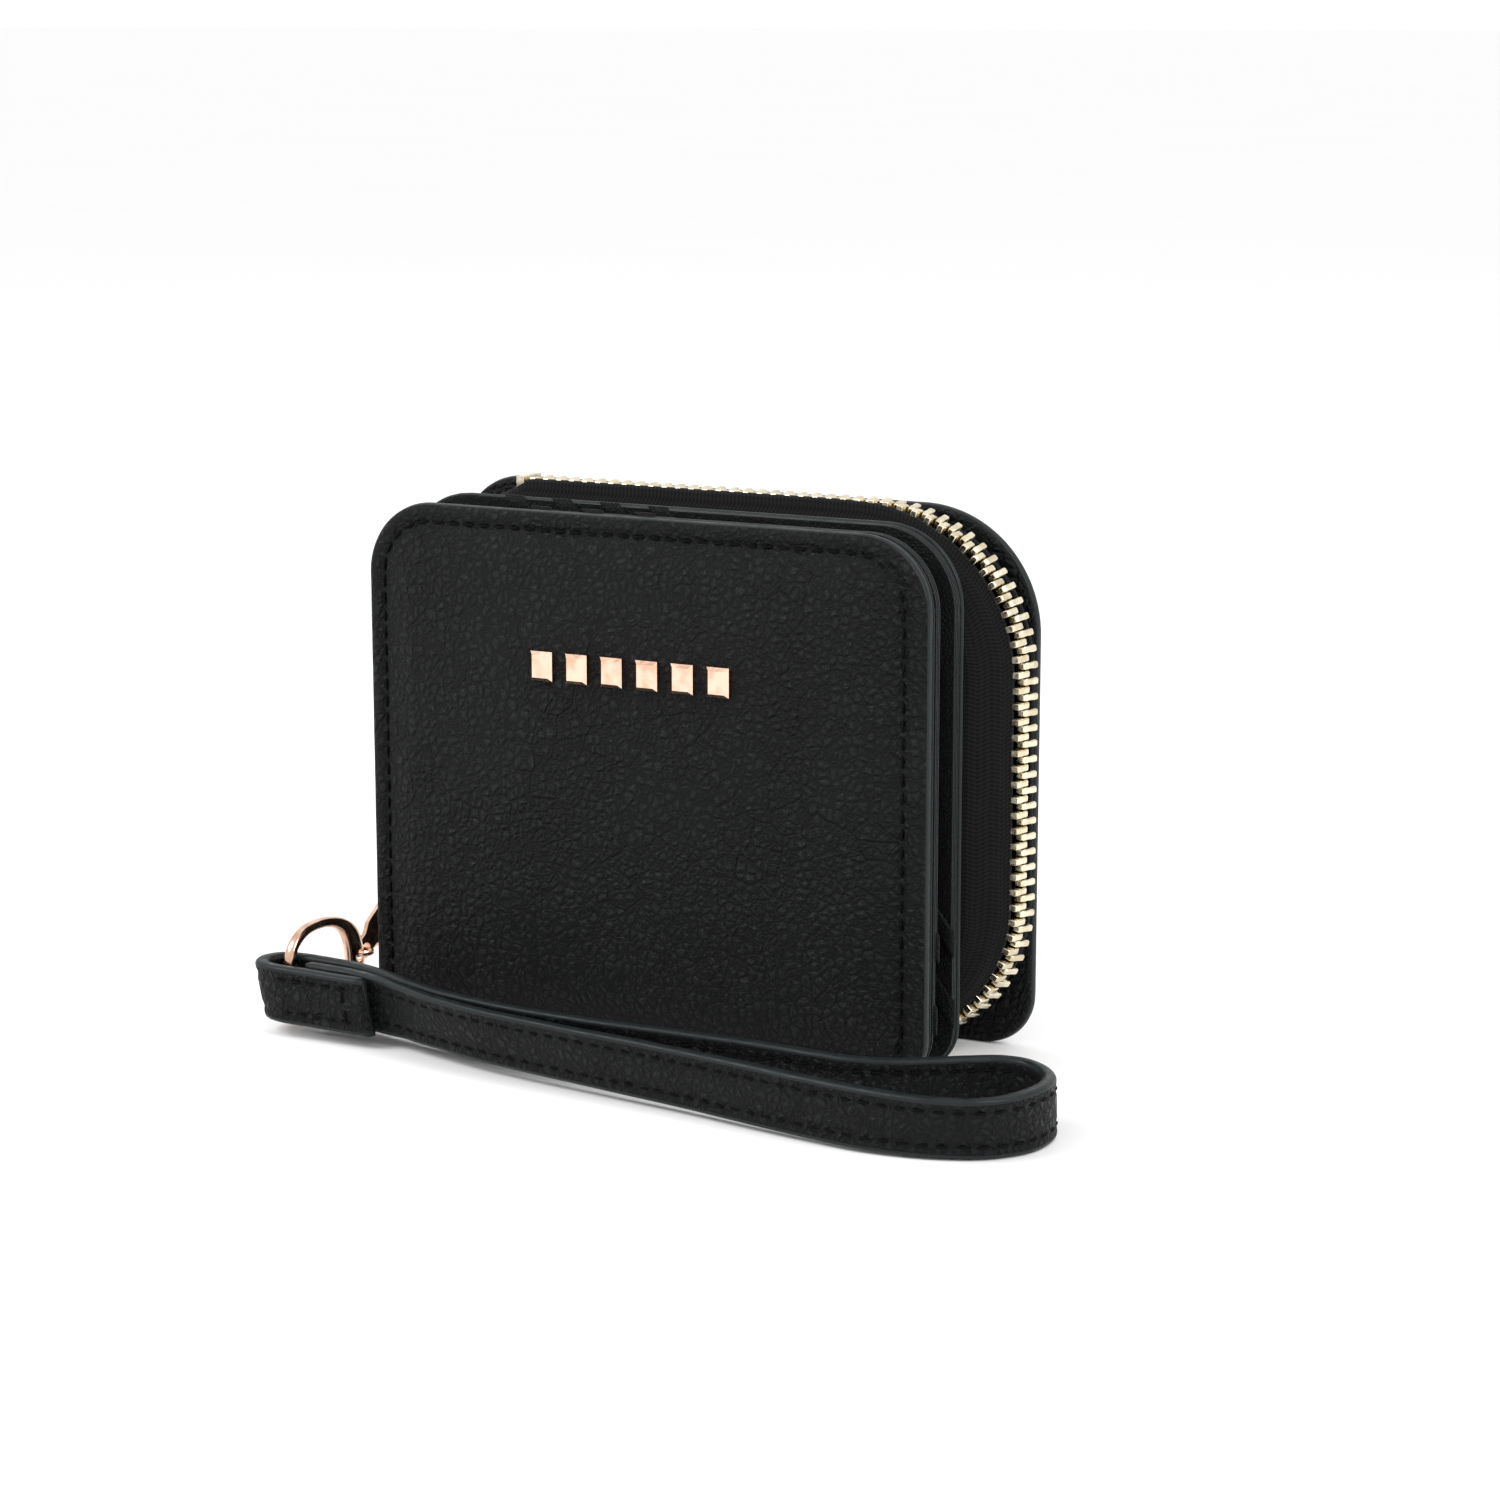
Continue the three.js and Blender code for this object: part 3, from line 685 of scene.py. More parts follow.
def make_leaves():
    front, back = thin_sheet(*CENTRE_LEAF_Y, 0.6, 0.03)
    panel("centre_leaf", CENTRE, front, back, "centre",
          ("centre_panel",), [SMOOTH_LEATHER, EDGE], step=3)
    for place, body, depths in COMPARTMENTS:
        front, back = thin_sheet(*depths, 0.3, 0.04)
        panel(f"{place}_compartment_lining", INNER, front, back, body,
              (f"{place}_lining",), [CLOTH], step=4, edge_band=-1)


def back_outer(distance, x, z):
    swell = smoothstep(distance, 4, 22)
    dent = 0.35 * groove(distance, STITCH_INSET, DENT_WIDTH)
    edge = BACK_SEAM_Y + 1.15 * rim(distance, BACK_RIM)
    return edge - dent + 0.2 * swell + 0.12 * slow(x, z, 19, 4.0) * swell


def back_inner(distance, x, z):
    return BACK_SEAM_Y - 1.4 * rim(distance, BACK_RIM)


def make_back():
    panel("back_cover", BACK, back_inner, back_outer, "back_shell",
          ("back_leather", "back_board"), [LEATHER, EDGE], step=1.8)
    panel_stitches("back_stitches", BACK, STITCH_INSET, BACK_STITCH_Y, "back_shell", front=False)


# ---- zip ----
def zip_points(start_x, end_z):
    """Dense (x, z) points along the zip's middle line, from its top left clockwise."""
    points = [(start_x, ZIP["top"])]
    for corner in CORNERS[1:]:
        points += corner_arc(ZIP, corner, 0, 32)
    points.append((ZIP["left"], end_z))
    return points


TAPE_STEP = 1.2
TAPE_THICKNESS = 0.45
TAPE_RIPPLE = 0.35
TAPE_END_DROP = 3.0
CHAIN_TILT = 0.3
CHAIN_MIDDLE_Y = 23.6


def zip_place(x, z, tx, tz, inward, y):
    """A point beside the zip's middle line: the chain leans so that it faces forward."""
    nx, nz = tz, -tx
    lean = -(y - CHAIN_MIDDLE_Y) * CHAIN_TILT * smoothstep(y, 18, 21) * (1 - smoothstep(y, 27, 29))
    lean *= smoothstep(-nx, 0.0, 1.0)
    offset = inward + lean
    return (x + nx * offset, y, z + nz * offset)


def weave_map(piece, sides, along, across):
    """Lays the herringbone out in rows: UV grows by along for each ring, by across for each side."""
    layer = piece.data.uv_layers.new(name="weave")
    for loop in piece.data.loops:
        ring, side = divmod(loop.vertex_index, sides)
        layer.data[loop.index].uv = (ring * along, side * across)


def sweep_tape(place, section, end_z, body):
    """section(s) gives the tape's closed outline as (inward, y) at length s along the zip."""
    walk = resample(zip_points(ZIP_START_X, end_z), TAPE_STEP)
    verts = []
    for i, (x, z, tx, tz) in enumerate(walk):
        for inward, y in section(i * TAPE_STEP):
            verts.append(zip_place(x, z, tx, tz, inward, y))
    sides = len(section(0))
    faces = tube_faces(len(walk), sides)
    piece = finish_piece(f"{place}_tape", verts, faces, [TAPE], body, (f"{place}_zip_tape",))
    weave_map(piece, sides, TAPE_STEP, 0.5)


def tape_section(points, seed, top_rise=0.0):
    """A thin closed outline round a line of (inward, y) points, with ripples along the zip."""

    def section(s):
        line = []
        for n, (inward, y) in enumerate(points):
            loose = math.sin(math.pi * n / (len(points) - 1))
            ripple = TAPE_RIPPLE * loose * noise.noise(Vector((s / 7, n / 4, seed)))
            drop = TAPE_END_DROP * (1 - smoothstep(s, 0, 7))
            rise = top_rise * (1 - smoothstep(s, 66, 90)) * smoothstep(n, 7, 9)
            line.append(Vector((inward + ripple + drop - rise, y)))
        outer, inner = [], []
        for n, point in enumerate(line):
            run = direction_at(line, n)
            side = Vector((-run.y, run.x)) * TAPE_THICKNESS / 2
            outer.append(tuple(point + side))
            inner.append(tuple(point - side))
        return outer + inner[::-1]

    return section


# (inward from the zip's middle line, y)
FRONT_TAPE_LINE = (
    (8.3, 13.4), (7.0, 13.4), (6.1, 13.6), (5.5, 14.2), (4.8, 15.1), (4.0, 16.1),
    (3.2, 17.2), (2.4, 18.3), (1.6, 19.3), (0.95, 20.1), (0.55, 20.9), (0.4, 21.6),
)
REAR_TAPE_LINE = (
    (0.4, 25.7), (0.5, 26.4), (0.7, 27.2), (0.95, 28.1), (1.3, 29.0),
    (1.8, 29.8), (2.6, 30.4), (4.0, 30.65), (5.6, 30.65), (7.2, 30.65),
)
FRONT_TAPE_RISE = 1.1


def make_tapes():
    sweep_tape("front", tape_section(FRONT_TAPE_LINE, 3.0, FRONT_TAPE_RISE), TAIL_TOP, "centre")
    sweep_tape("rear", tape_section(REAR_TAPE_LINE, 8.0), CHAIN_END_Z, "back_shell")


TOOTH_PITCH = 2.7
FRONT_TEETH_Y = 23.3
REAR_TEETH_Y = 23.9
# (reach towards the other row, half along the zip, half across it)
TOOTH_OUTLINE = (
    (-2.1, 0.5, 0.95), (-1.9, 0.6, 1.1), (-1.2, 0.6, 1.1), (-0.4, 0.55, 1.0),
    (0.25, 0.64, 0.95), (0.75, 0.6, 0.8), (1.0, 0.42, 0.6),
)
TOOTH_CHAMFER = 0.72
TOOTH_SECTION = (
    (-1, -TOOTH_CHAMFER), (-1, TOOTH_CHAMFER), (-TOOTH_CHAMFER, 1), (TOOTH_CHAMFER, 1),
    (1, TOOTH_CHAMFER), (1, -TOOTH_CHAMFER), (TOOTH_CHAMFER, -1), (-TOOTH_CHAMFER, -1),
)


def tooth_row(place, facing, phase, base_y, body):
    """Metal teeth clamped on the tape's cord. facing is 1 where heads point to +Y, else -1."""
    walk = resample(zip_points(CHAIN_START_X, CHAIN_END_Z), TOOTH_PITCH / 2)
    verts, faces = [], []
    for x, z, tx, tz in walk[phase::2]:
        first = len(verts)
        for reach, half_long, half_thick in TOOTH_OUTLINE:
            y = base_y + facing * reach
            for along, across in TOOTH_SECTION:
                px, py, pz = zip_place(x, z, tx, tz, across * half_thick, y)
                verts.append((px + tx * along * half_long, py, pz + tz * along * half_long))
        faces += tube_faces(len(TOOTH_OUTLINE), len(TOOTH_SECTION), first=first)
    replaced = (f"{place}_zip_teeth",)
    piece = finish_piece(f"{place}_teeth", verts, faces, [PALE_GOLD], body, replaced)
    piece.data.polygons.foreach_set("use_smooth", [False] * len(piece.data.polygons))
    bevel(piece, 0.1, 2)


def make_teeth():
    tooth_row("front", 1, 0, FRONT_TEETH_Y, "centre")
    tooth_row("rear", -1, 1, REAR_TEETH_Y, "back_shell")


# ---- shared sweeps ----
def between(first, second, t, start, end):
    """first at time start, second at time end, and evenly in between."""
    return first * ((end - t) / (end - start)) + second * ((t - start) / (end - start))


def spline(points, per_span=14):
    """A smooth curve through points of any size, with even-tempered spans."""
    points = [Vector(p) for p in points]
    ends = [points[0] * 2 - points[1]] + points + [points[-1] * 2 - points[-2]]
    result = []
    for span in zip(ends, ends[1:], ends[2:], ends[3:]):
        times = [0.0]
        for a, b in zip(span, span[1:]):
            times.append(times[-1] + max((b - a).length ** 0.5, 1e-4))
        for k in range(per_span):
            t = times[1] + (times[2] - times[1]) * k / per_span
            ones = [between(span[n], span[n + 1], t, times[n], times[n + 1]) for n in range(3)]
            twos = [between(ones[n], ones[n + 1], t, times[n], times[n + 2]) for n in range(2)]
            result.append(between(*twos, t, times[1], times[2]))
    result.append(points[-1])
    return result


def smooth_walk(line, pitch):
    """Evenly spaced (x, y, tangent x, tangent y) along the curve through a line's points."""
    return resample([tuple(p) for p in spline(line)], pitch)


SHEET_STEP = 0.8


def sheet_line(name, line, thickness, low, high, replaced, wave):
    """A leather sheet standing on (x, y) points, low to high, rounded at its rims, on no body yet."""
    walk = smooth_walk(line, SHEET_STEP)
    heights = [low, low + 0.25, low + 0.8]
    count = max(int((high - low) / 4), 2)
    heights += [low + (high - low) * k / count for k in range(1, count)]
    heights += [high - 0.8, high - 0.25, high]
    verts = []
    for i, (x, y, tx, ty) in enumerate(walk):
        end = min(i, len(walk) - 1 - i) * SHEET_STEP
        for side in (-1, 1):
            order = heights if side < 0 else heights[::-1]
            for z in order:
                edge = min(z - low, high - z, end)
                half = thickness / 2 * (0.45 + 0.55 * rim(edge, 0.5))
                waver = wave * slow(y * 3, z, 13, 5.0) * rim(end, 6)
                shift = side * half + waver
                verts.append((x - ty * shift, y + tx * shift, z))
    faces = tube_faces(len(walk), 2 * len(heights))
    return finish_piece(name, verts, faces, [SMOOTH_LEATHER], None, replaced)


RING_WIRE = 0.4


def ring_piece(name, middle, radius, body, replaced):
    x, y, z = middle
    turns, section = circle(48), circle(14)
    verts = []
    for turn_x, turn_y in turns:
        for out, up in section:
            reach = radius + RING_WIRE * out
            verts.append((x + reach * turn_x, y + reach * turn_y, z + RING_WIRE * up))
    faces = tube_faces(len(turns), len(section), closed=True)
    metal_piece(name, verts, faces, body, (replaced,))


# ---- hinges, pouch and tail ----
HINGE_LINE = (
    (8, 3.5), (4, 3.48), (1, 3.6), (-0.9, 4.6), (-1.6, 6.4), (-1.75, 8),
    (-1.6, 9.6), (-0.8, 10.9), (1.5, 11.38), (4, 11.4), (8, 11.4),
)
SPINE_LINE = (
    (8, 13.25), (4, 13.25), (0.6, 13.5), (-1.2, 14.6), (-1.5, 18), (-1.7, 22),
    (-1.5, 26), (-1.3, 29), (0.2, 30.4), (3, 30.85), (7, 30.9),
)


def make_hinges():
    hinge = sheet_line("hinge_leather", HINGE_LINE, 0.5, 9, 80, ("flap_hinge",), 0.1)
    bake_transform(hinge)
    spine = sheet_line("spine", SPINE_LINE, 0.45, 36, 86, ("spine_leather",), 0.2)
    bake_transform(spine)


# The pouch's wall from the middle of its base, up outside, over its rim and down inside:
# (inset from the CAD pouch, height).
POUCH_WALL = 0.8
POUCH_RINGS = (
    (3.0, 0), (0.8, 0.1), (0, 1.4), (0, 20), (-0.15, 40), (0, 60), (0, 69.6), (0.25, 70.2),
    (0.6, 70.2), (POUCH_WALL, 69.6), (POUCH_WALL, 40), (POUCH_WALL, 2), (1.6, 0.9), (2.6, 0.85),
)


def make_pouch():
    low, high = cad_box("coin_pouch")
    verts = []
    for inset, rise in POUCH_RINGS:
        deep = inset * 0.9
        radius = max(1.6 - inset * 0.5, 0.3)
        outline = loop_outline(low.x + inset, high.x - inset, low.y + deep, high.y - deep, radius)
        for x, y in outline:
            soft = 0.22 * slow(x, rise, 19, 3.0) * smoothstep(rise, 2, 20)
            verts.append((x, y + soft, low.z + rise))
    faces = tube_faces(len(POUCH_RINGS), len(outline))
    finish_piece("pouch", verts, faces, [CLOTH], "centre", ("coin_pouch",))


def loop_outline(left, right, bottom, top, r, per_side=30):
    """A rounded rectangle as the same number of points whatever its size."""
    middles = ((left + r, bottom + r), (right - r, bottom + r), (right - r, top - r), (left + r, top - r))
    arcs = []
    for n, (x, y) in enumerate(middles):
        arcs.append([Vector(point) for point in arc(x, y, r, 180 + 90 * n, 90, 6)])
    points = []
    for n, corner in enumerate(arcs):
        points += corner
        if n % 2 == 0:
            points += [corner[-1].lerp(arcs[n + 1][0], k / per_side) for k in range(1, per_side)]
    return points


TAIL_LINE = ((-1.3, 27.1), (-1.32, 28.3), (-1.25, 29.4), (-1.1, 30.5))
TAIL_BOTTOM = 14.9
TAIL_LENGTH = 18
TAIL_STEPS = 24
TAIL_HALF = 0.2


def make_tail():
    walk = [tuple(p) for p in spline(TAIL_LINE, 5)]
    heights = [TAIL_BOTTOM + TAIL_LENGTH * k / TAIL_STEPS for k in range(TAIL_STEPS + 1)]
    verts = []
    for z in heights:
        ripple = 0.18 * math.sin(z * 0.9) * smoothstep(z, 15, 20)
        verts += [(x - TAIL_HALF + ripple, y, z) for x, y in walk]
        verts += [(x + TAIL_HALF + ripple, y, z) for x, y in reversed(walk)]
    sides = 2 * len(walk)
    faces = tube_faces(len(heights), sides)
    piece = finish_piece("tail_tape", verts, faces, [TAPE], "back_shell", ("zip_tail_tape",))
    weave_map(piece, sides, 0.75, 0.25)


# ---- wrist strap ----
STRAP_HEIGHT = 10.6
STRAP_THICKNESS = 2.5
STRAP_REST_X = 141
STRAP_TILT = 0.0168
STRAP_ROUTE = (
    (13.4, -22.6), (6, -22.6), (-1, -22.5), (-6.6, -22.4), (-9.57, -21.17), (-10.8, -18.2),
    (-9.57, -15.23), (-6.6, -14), (0.5, -13.9), (7, -14.4), (15.7, -17), (24, -19.6), (33, -21.5),
    (41, -22.5), (50, -23), (62, -22.9), (76, -22), (90, -21.5), (100, -21.7), (107, -21.5),
    (112.5, -19.8), (118, -16.2), (123.5, -11.9), (128, -9), (132, -8.6), (136, -10.8),
    (138.8, -14.5), (139.8, -19.5), (138.6, -26), (134.5, -31.6), (127, -35), (116, -36),
    (104, -34.9), (90, -32.9), (74, -30.8), (56, -29), (38, -26.6), (26, -23.5), (17, -20.4),
    (8, -18.4), (2, -18.2), (-2.5, -18.2),
)
# (x, how far the top edge leans forward of the bottom edge there)
STRAP_LEAN = (
    (-14, 0.6), (13, 0.9), (20, 2.4), (28, 3.6), (40, 3.6),
    (55, 3.0), (75, 2.0), (97, 1.0), (113, 0.8), (150, 0.8),
)
FRONT_LEAN = 2.2


def strap_lean(x, y):
    """How far the strap's top edge leans forward of its bottom edge."""
    for (x0, lean0), (x1, lean1) in zip(STRAP_LEAN, STRAP_LEAN[1:]):
        if x <= x1:
            lean = lean0 + (lean1 - lean0) * smoothstep(x, x0, x1)
            break
    return lean + FRONT_LEAN * smoothstep(x, 112, 134) * smoothstep(-y, 22, 30)


def strap_base(x):
    """The height of the strap's lower edge: flat on the floor at the far end, rising to the clasp."""
    return max((STRAP_REST_X - x) * STRAP_TILT, 0.0)


STRAP_STEP = 0.9
STRAP_CORNER = 0.85
STRAP_SIDE_ROWS = 14
STITCH_FROM_EDGE = 2.3
# How far the tab's top leans left of its bottom, for each millimetre of height.
TAB_SLANT = 0.15
# The step of the strap's walk where stitches cross the tab, and their heights.
TAB_BOX_STEP = 5
TAB_BOX_RISES = (-1.5, 1.5)
# Left of this the strap turns back on itself, and only the tab's box is stitched.
FOLD_END_X = -5


def strap_section():
    """The strap's rounded cross section: (across the thickness, up the height, is it edge)."""
    wide = STRAP_THICKNESS / 2 - STRAP_CORNER
    high = STRAP_HEIGHT / 2 - STRAP_CORNER
    section = []
    for quarter, (side, up) in enumerate(((1, 1), (-1, 1), (-1, -1), (1, -1))):
        corner = arc(side * wide, up * high, STRAP_CORNER, 90 * quarter, 90, 5)
        section += [(across, rise, True) for across, rise in corner]
        if quarter in (1, 3):
            for step in range(1, STRAP_SIDE_ROWS):
                rise = up * high * (1 - 2 * step / STRAP_SIDE_ROWS)
                section.append((side * STRAP_THICKNESS / 2, rise, False))
    return section


def strap_place(x, y, tx, ty, across, rise):
    """A point of the strap: across its thickness to the left of its run, rise above mid-height."""
    lean = strap_lean(x, y) * rise / STRAP_HEIGHT
    slant = TAB_SLANT * rise * (1 - smoothstep(x, 12, 34))
    high = strap_base(x) + STRAP_HEIGHT / 2 + rise
    return (x - ty * across - slant, y + tx * across - lean, high)


def make_strap():
    walk = smooth_walk(STRAP_ROUTE, STRAP_STEP)
    section = strap_section()
    verts = []
    last = len(walk) - 1
    for i, (x, y, tx, ty) in enumerate(walk):
        end = min(i, last - i) * STRAP_STEP
        size = 0.5 + 0.5 * rim(end, 0.9)
        for across, rise, _ in section:
            dimple = 0.24 * groove(STRAP_HEIGHT / 2 - abs(rise), STITCH_FROM_EDGE, 0.6)
            waver = 0.06 * slow(i * STRAP_STEP, rise, 9, 6.0)
            scaled = across * size * (1 - dimple / STRAP_THICKNESS * 2) + waver
            verts.append(strap_place(x, y, tx, ty, scaled, rise * (0.9 + 0.1 * size)))
    sides = len(section)
    ring_marks = [int(section[k][2] and section[(k + 1) % sides][2]) for k in range(sides)]
    marks = ring_marks * last + [1, 1]
    finish_piece("strap", verts, tube_faces(len(walk), sides), [LEATHER, EDGE], "strap",
                 ("wrist_strap",), marks)
    strap_stitches(walk)


def strap_stitches(walk):
    """Two rows of stitches on each face, and a box of them across the end of the tab."""
    line = [(x, y) for x, y, _, _ in walk]
    places = []
    stations = resample(line, STITCH_PITCH)
    for x, y, tx, ty in stations[1:-1]:
        if x < FOLD_END_X:
            continue
        for side in (-1, 1):
            for up in (-1, 1):
                rise = up * (STRAP_HEIGHT / 2 - STITCH_FROM_EDGE)
                point = strap_place(x, y, tx, ty, side * (STRAP_THICKNESS / 2 - 0.24), rise)
                outward = (-ty * side, tx * side, 0)
                places.append((point, (tx, ty, 0), outward))
    x, y, tx, ty = walk[TAB_BOX_STEP]
    for side in (-1, 1):
        for rise in TAB_BOX_RISES:
            point = strap_place(x, y, tx, ty, side * (STRAP_THICKNESS / 2 - 0.05), rise)
            places.append((point, (0, 0, 1), (-ty * side, tx * side, 0)))
    stitches("strap_stitches", places, "strap")


# ---- metal hardware ----
CLASP_X = -7.4
# (y, z, half width)
HOOK_STATIONS = (
    (3, 1.6, 1.5), (3.5, 4.6, 2.3), (3.5, 8.5, 2.6), (2.4, 12.2, 2.2), (-0.2, 15, 1.4),
    (-4, 16.6, 1.0), (-8.3, 17.1, 0.9), (-12.8, 16.6, 0.9), (-16.1, 14.5, 0.9), (-17.4, 11.2, 0.9),
    (-17.4, 7.6, 0.9), (-17.2, 4.8, 0.9), (-16.8, 2.8, 0.8), (-15.6, 1.5, 0.7), (-13.4, 1.2, 0.6),
)
HOOK_HALF_DEPTH = 1.0
# (y, z, radius)
HOOK_EYE = (4.2, 8.5, 1.1)
GATE_PIN = (3, 2.5, 0.5)
GATE_STATIONS = ((-12.2, 1.6, 0.45), (-8, 1.75, 0.5), (-3, 2.0, 0.6), (0.5, 2.3, 0.75), (3, 2.5, 1.0))
GATE_HALF_DEPTH = 0.5
GATE_BORE = GATE_PIN[2] + 0.08
HOOK_SLOT = ((CLASP_X - 0.7, 0, -1), (CLASP_X + 0.7, 6, 5))
BORE_HALF = 4


def side_sweep(name, stations, half_x, squareness, body, replaced):
    """A bar along (y, z, half width) stations with a rounded section, half_x deep either way."""
    path = spline(stations, 10)
    flat = [point.xy for point in path]
    section = circle(20)
    verts = []
    for i, point in enumerate(path):
        run = direction_at(flat, i)
        end = min((point - path[0]).length, (path[-1] - point).length)
        size = 0.45 + 0.55 * rim(end, point.z)
        for c, s in section:
            over = math.copysign(abs(c) ** squareness, c)
            out = math.copysign(abs(s) ** squareness, s)
            offset = over * point.z * size
            x = CLASP_X + out * half_x * size
            verts.append((x, point.x - run.y * offset, point.y + run.x * offset))
    return metal_piece(name, verts, tube_faces(len(path), len(section)), body, replaced)


def bore(piece, cutters):
    """Cuts the cutters' shapes out of a piece, then removes them."""
    for cutter in cutters:
        modifier = piece.modifiers.new("bore", "BOOLEAN")
        modifier.operation = "DIFFERENCE"
        modifier.solver = "EXACT"
        modifier.object = cutter
    graph = bpy.context.evaluated_depsgraph_get()
    bpy.context.view_layer.update()
    mesh = bpy.data.meshes.new_from_object(piece.evaluated_get(graph))
    piece.modifiers.clear()
    piece.data = mesh
    for cutter in cutters:
        bpy.data.objects.remove(cutter)


def round_cutter(y, z, radius):
    depth = 2 * BORE_HALF * MM
    bpy.ops.mesh.primitive_cylinder_add(vertices=36, radius=radius * MM, depth=depth)
    cutter = bpy.context.object
    cutter.matrix_world = Matrix.Translation(row(CLASP_X, y, z)) @ Matrix.Rotation(math.pi / 2, 4, "Y")
    return cutter


def slot_cutter(low, high):
    bpy.ops.mesh.primitive_cube_add(size=1)
    cutter = bpy.context.object
    middle = (Vector(low) + Vector(high)) / 2
    size = (Vector(high) - Vector(low)) * MM
    cutter.matrix_world = Matrix.Translation(row(*middle)) @ Matrix.Diagonal((*size, 1))
    return cutter


# The gate's pin, riveted at both ends: (fraction of its length, radius).
PIN_PROFILE = (
    (0, 0.25), (0.02, 0.5), (0.07, 0.62), (0.12, 0.62), (0.13, 0.5),
    (0.87, 0.5), (0.88, 0.62), (0.93, 0.62), (0.98, 0.5), (1, 0.25),
)
PIN_HALF = 1.5


def round_bar(name, profile, middle, sides, tall, body, replaced=()):
    """A bar along X through (y, z): profile gives (x, radius), and tall stretches it upwards."""
    y, z = middle
    section = circle(sides)
    verts = []
    for x, radius in profile:
        verts += [(x, y + radius * c, z + tall * radius * s) for c, s in section]
    metal_piece(name, verts, tube_faces(len(profile), sides), body, replaced)


def make_pin():
    profile = [(CLASP_X - PIN_HALF + 2 * PIN_HALF * along, radius) for along, radius in PIN_PROFILE]
    round_bar("gate_pin", profile, GATE_PIN[:2], 32, 1, "clasp", ("clasp_gate_pin",))


def make_clasp():
    pin_bore = (*GATE_PIN[:2], GATE_BORE)
    hook = side_sweep("hook", HOOK_STATIONS, HOOK_HALF_DEPTH, 0.72, "clasp", ("clasp_hook",))
    bore(hook, (round_cutter(*HOOK_EYE), round_cutter(*pin_bore), slot_cutter(*HOOK_SLOT)))
    make_pin()
    gate = side_sweep("gate", GATE_STATIONS, GATE_HALF_DEPTH, 0.8, "gate", ("clasp_gate",))
    bore(gate, (round_cutter(*pin_bore),))


# (front x, back x) of each plate
SLIDER_PLATES = ((-4.2, -3.2), (0.0, 1.3))
# Half widths and heights of a plate: a narrow tail, then wide shoulders at the top.
SLIDER_TAIL = ((2.2, 15.1), (2.7, 15.6), (2.75, 17.5))
SLIDER_SHOULDERS = ((2.6, 20.0), (3.2, 20.3), (3.45, 21.2), (3.6, 23.5), (3.3, 24.6), (2.2, 25.4))
# (x, half width)
SLIDER_POST = ((-3.3, 0.9), (-2.8, 0.75), (-1.6, 0.7), (-0.4, 0.75), (0.1, 0.9))
SLIDER_POST_Z = 23.4
SLIDER_LOOP = (
    (-3.9, 16.6), (-5.2, 16.5), (-6.5, 16.9), (-6.85, 18.0),
    (-6.85, 21), (-6.7, 23.3), (-5.6, 24.2), (-3.9, 24.3),
)
LOOP_Y = 23.5
LOOP_HALF_THICKNESS = 0.4
LOOP_HALF_WIDTH = 0.75


def make_slider_plates():
    sizes = SLIDER_TAIL + SLIDER_SHOULDERS
    outline = [(CHAIN_MIDDLE_Y - half, z) for half, z in sizes]
    outline += [(2 * CHAIN_MIDDLE_Y - y, z) for y, z in reversed(outline)]
    verts, faces = [], []
    for depths in SLIDER_PLATES:
        faces += slab_faces(len(outline), len(verts))
        for x in depths:
            verts += [(x, y, z) for y, z in outline]
    piece = metal_piece("slider", verts, faces, "slider", ("zip_slider",))
    bevel(piece, 0.28)


def make_slider():
    """Two plates, the post between them and the loop that the puller's ring hangs from."""
    make_slider_plates()
    round_bar("slider_post", SLIDER_POST, (CHAIN_MIDDLE_Y, SLIDER_POST_Z), 16, 2, "slider")
    loop = spline(SLIDER_LOOP, 8)
    section = circle(12)
    verts = []
    for i, point in enumerate(loop):
        run = direction_at(loop, i)
        for c, s in section:
            over = LOOP_HALF_THICKNESS * c
            y = LOOP_Y + LOOP_HALF_WIDTH * s
            verts.append((point.x - run.y * over, y, point.y + run.x * over))
    metal_piece("slider_loop", verts, tube_faces(len(loop), len(section)), "slider")


PULLER_LOW_X = -8.9
PULLER_HIGH_X = -7.3
# (middle, radius)
PULL_RING = ((-7, 22.6, 18), 1.9)
LINK_RING = ((-8.1, 6.3, 8.5), 2.37)
# (y, z, eye radius) of its lower and upper end
PULLER_LOW = (8.5, 8.5, 1.25)
PULLER_HIGH = (20.7, 18, 0.88)
PULLER_LOW_END = 2
PULLER_HIGH_END = 1.7
# (distance from that end, half width)
PULLER_WIDTHS = ((2.0, 2.1), (4, 3.15), (4.8, 3.25))
PULLER_UPPER_WIDTHS = ((4.8, 3.25), (4, 3.15), (1.8, 1.95))
# (depth through the bar, how far its outline is drawn in there)
PULLER_LAYERS = ((-0.8, 0.75), (-0.4, 0.12), (0.0, 0.0), (0.4, 0.12), (0.8, 0.75))


def puller_outline(inset):
    """(along, out) once round the puller, from its lower eye to its upper one and back."""
    run = Vector((PULLER_HIGH[0] - PULLER_LOW[0], PULLER_HIGH[1] - PULLER_LOW[1]))
    length = run.length
    stations = arc(0, 0, PULLER_LOW_END, 180, -90, 8)
    stations += PULLER_WIDTHS
    stations += [(length - along, half) for along, half in PULLER_UPPER_WIDTHS]
    stations += arc(length, 0, PULLER_HIGH_END, 90, -90, 8)
    middle = length / 2
    upper = []
    for along, half in stations:
        shift = inset * (1 if along < middle else -1) * smoothstep(abs(along - middle), 0, middle)
        upper.append((along + shift, max(half - inset, 0.02)))
    lower = [(along, -half) for along, half in reversed(upper)]
    return upper + lower, run.normalized()


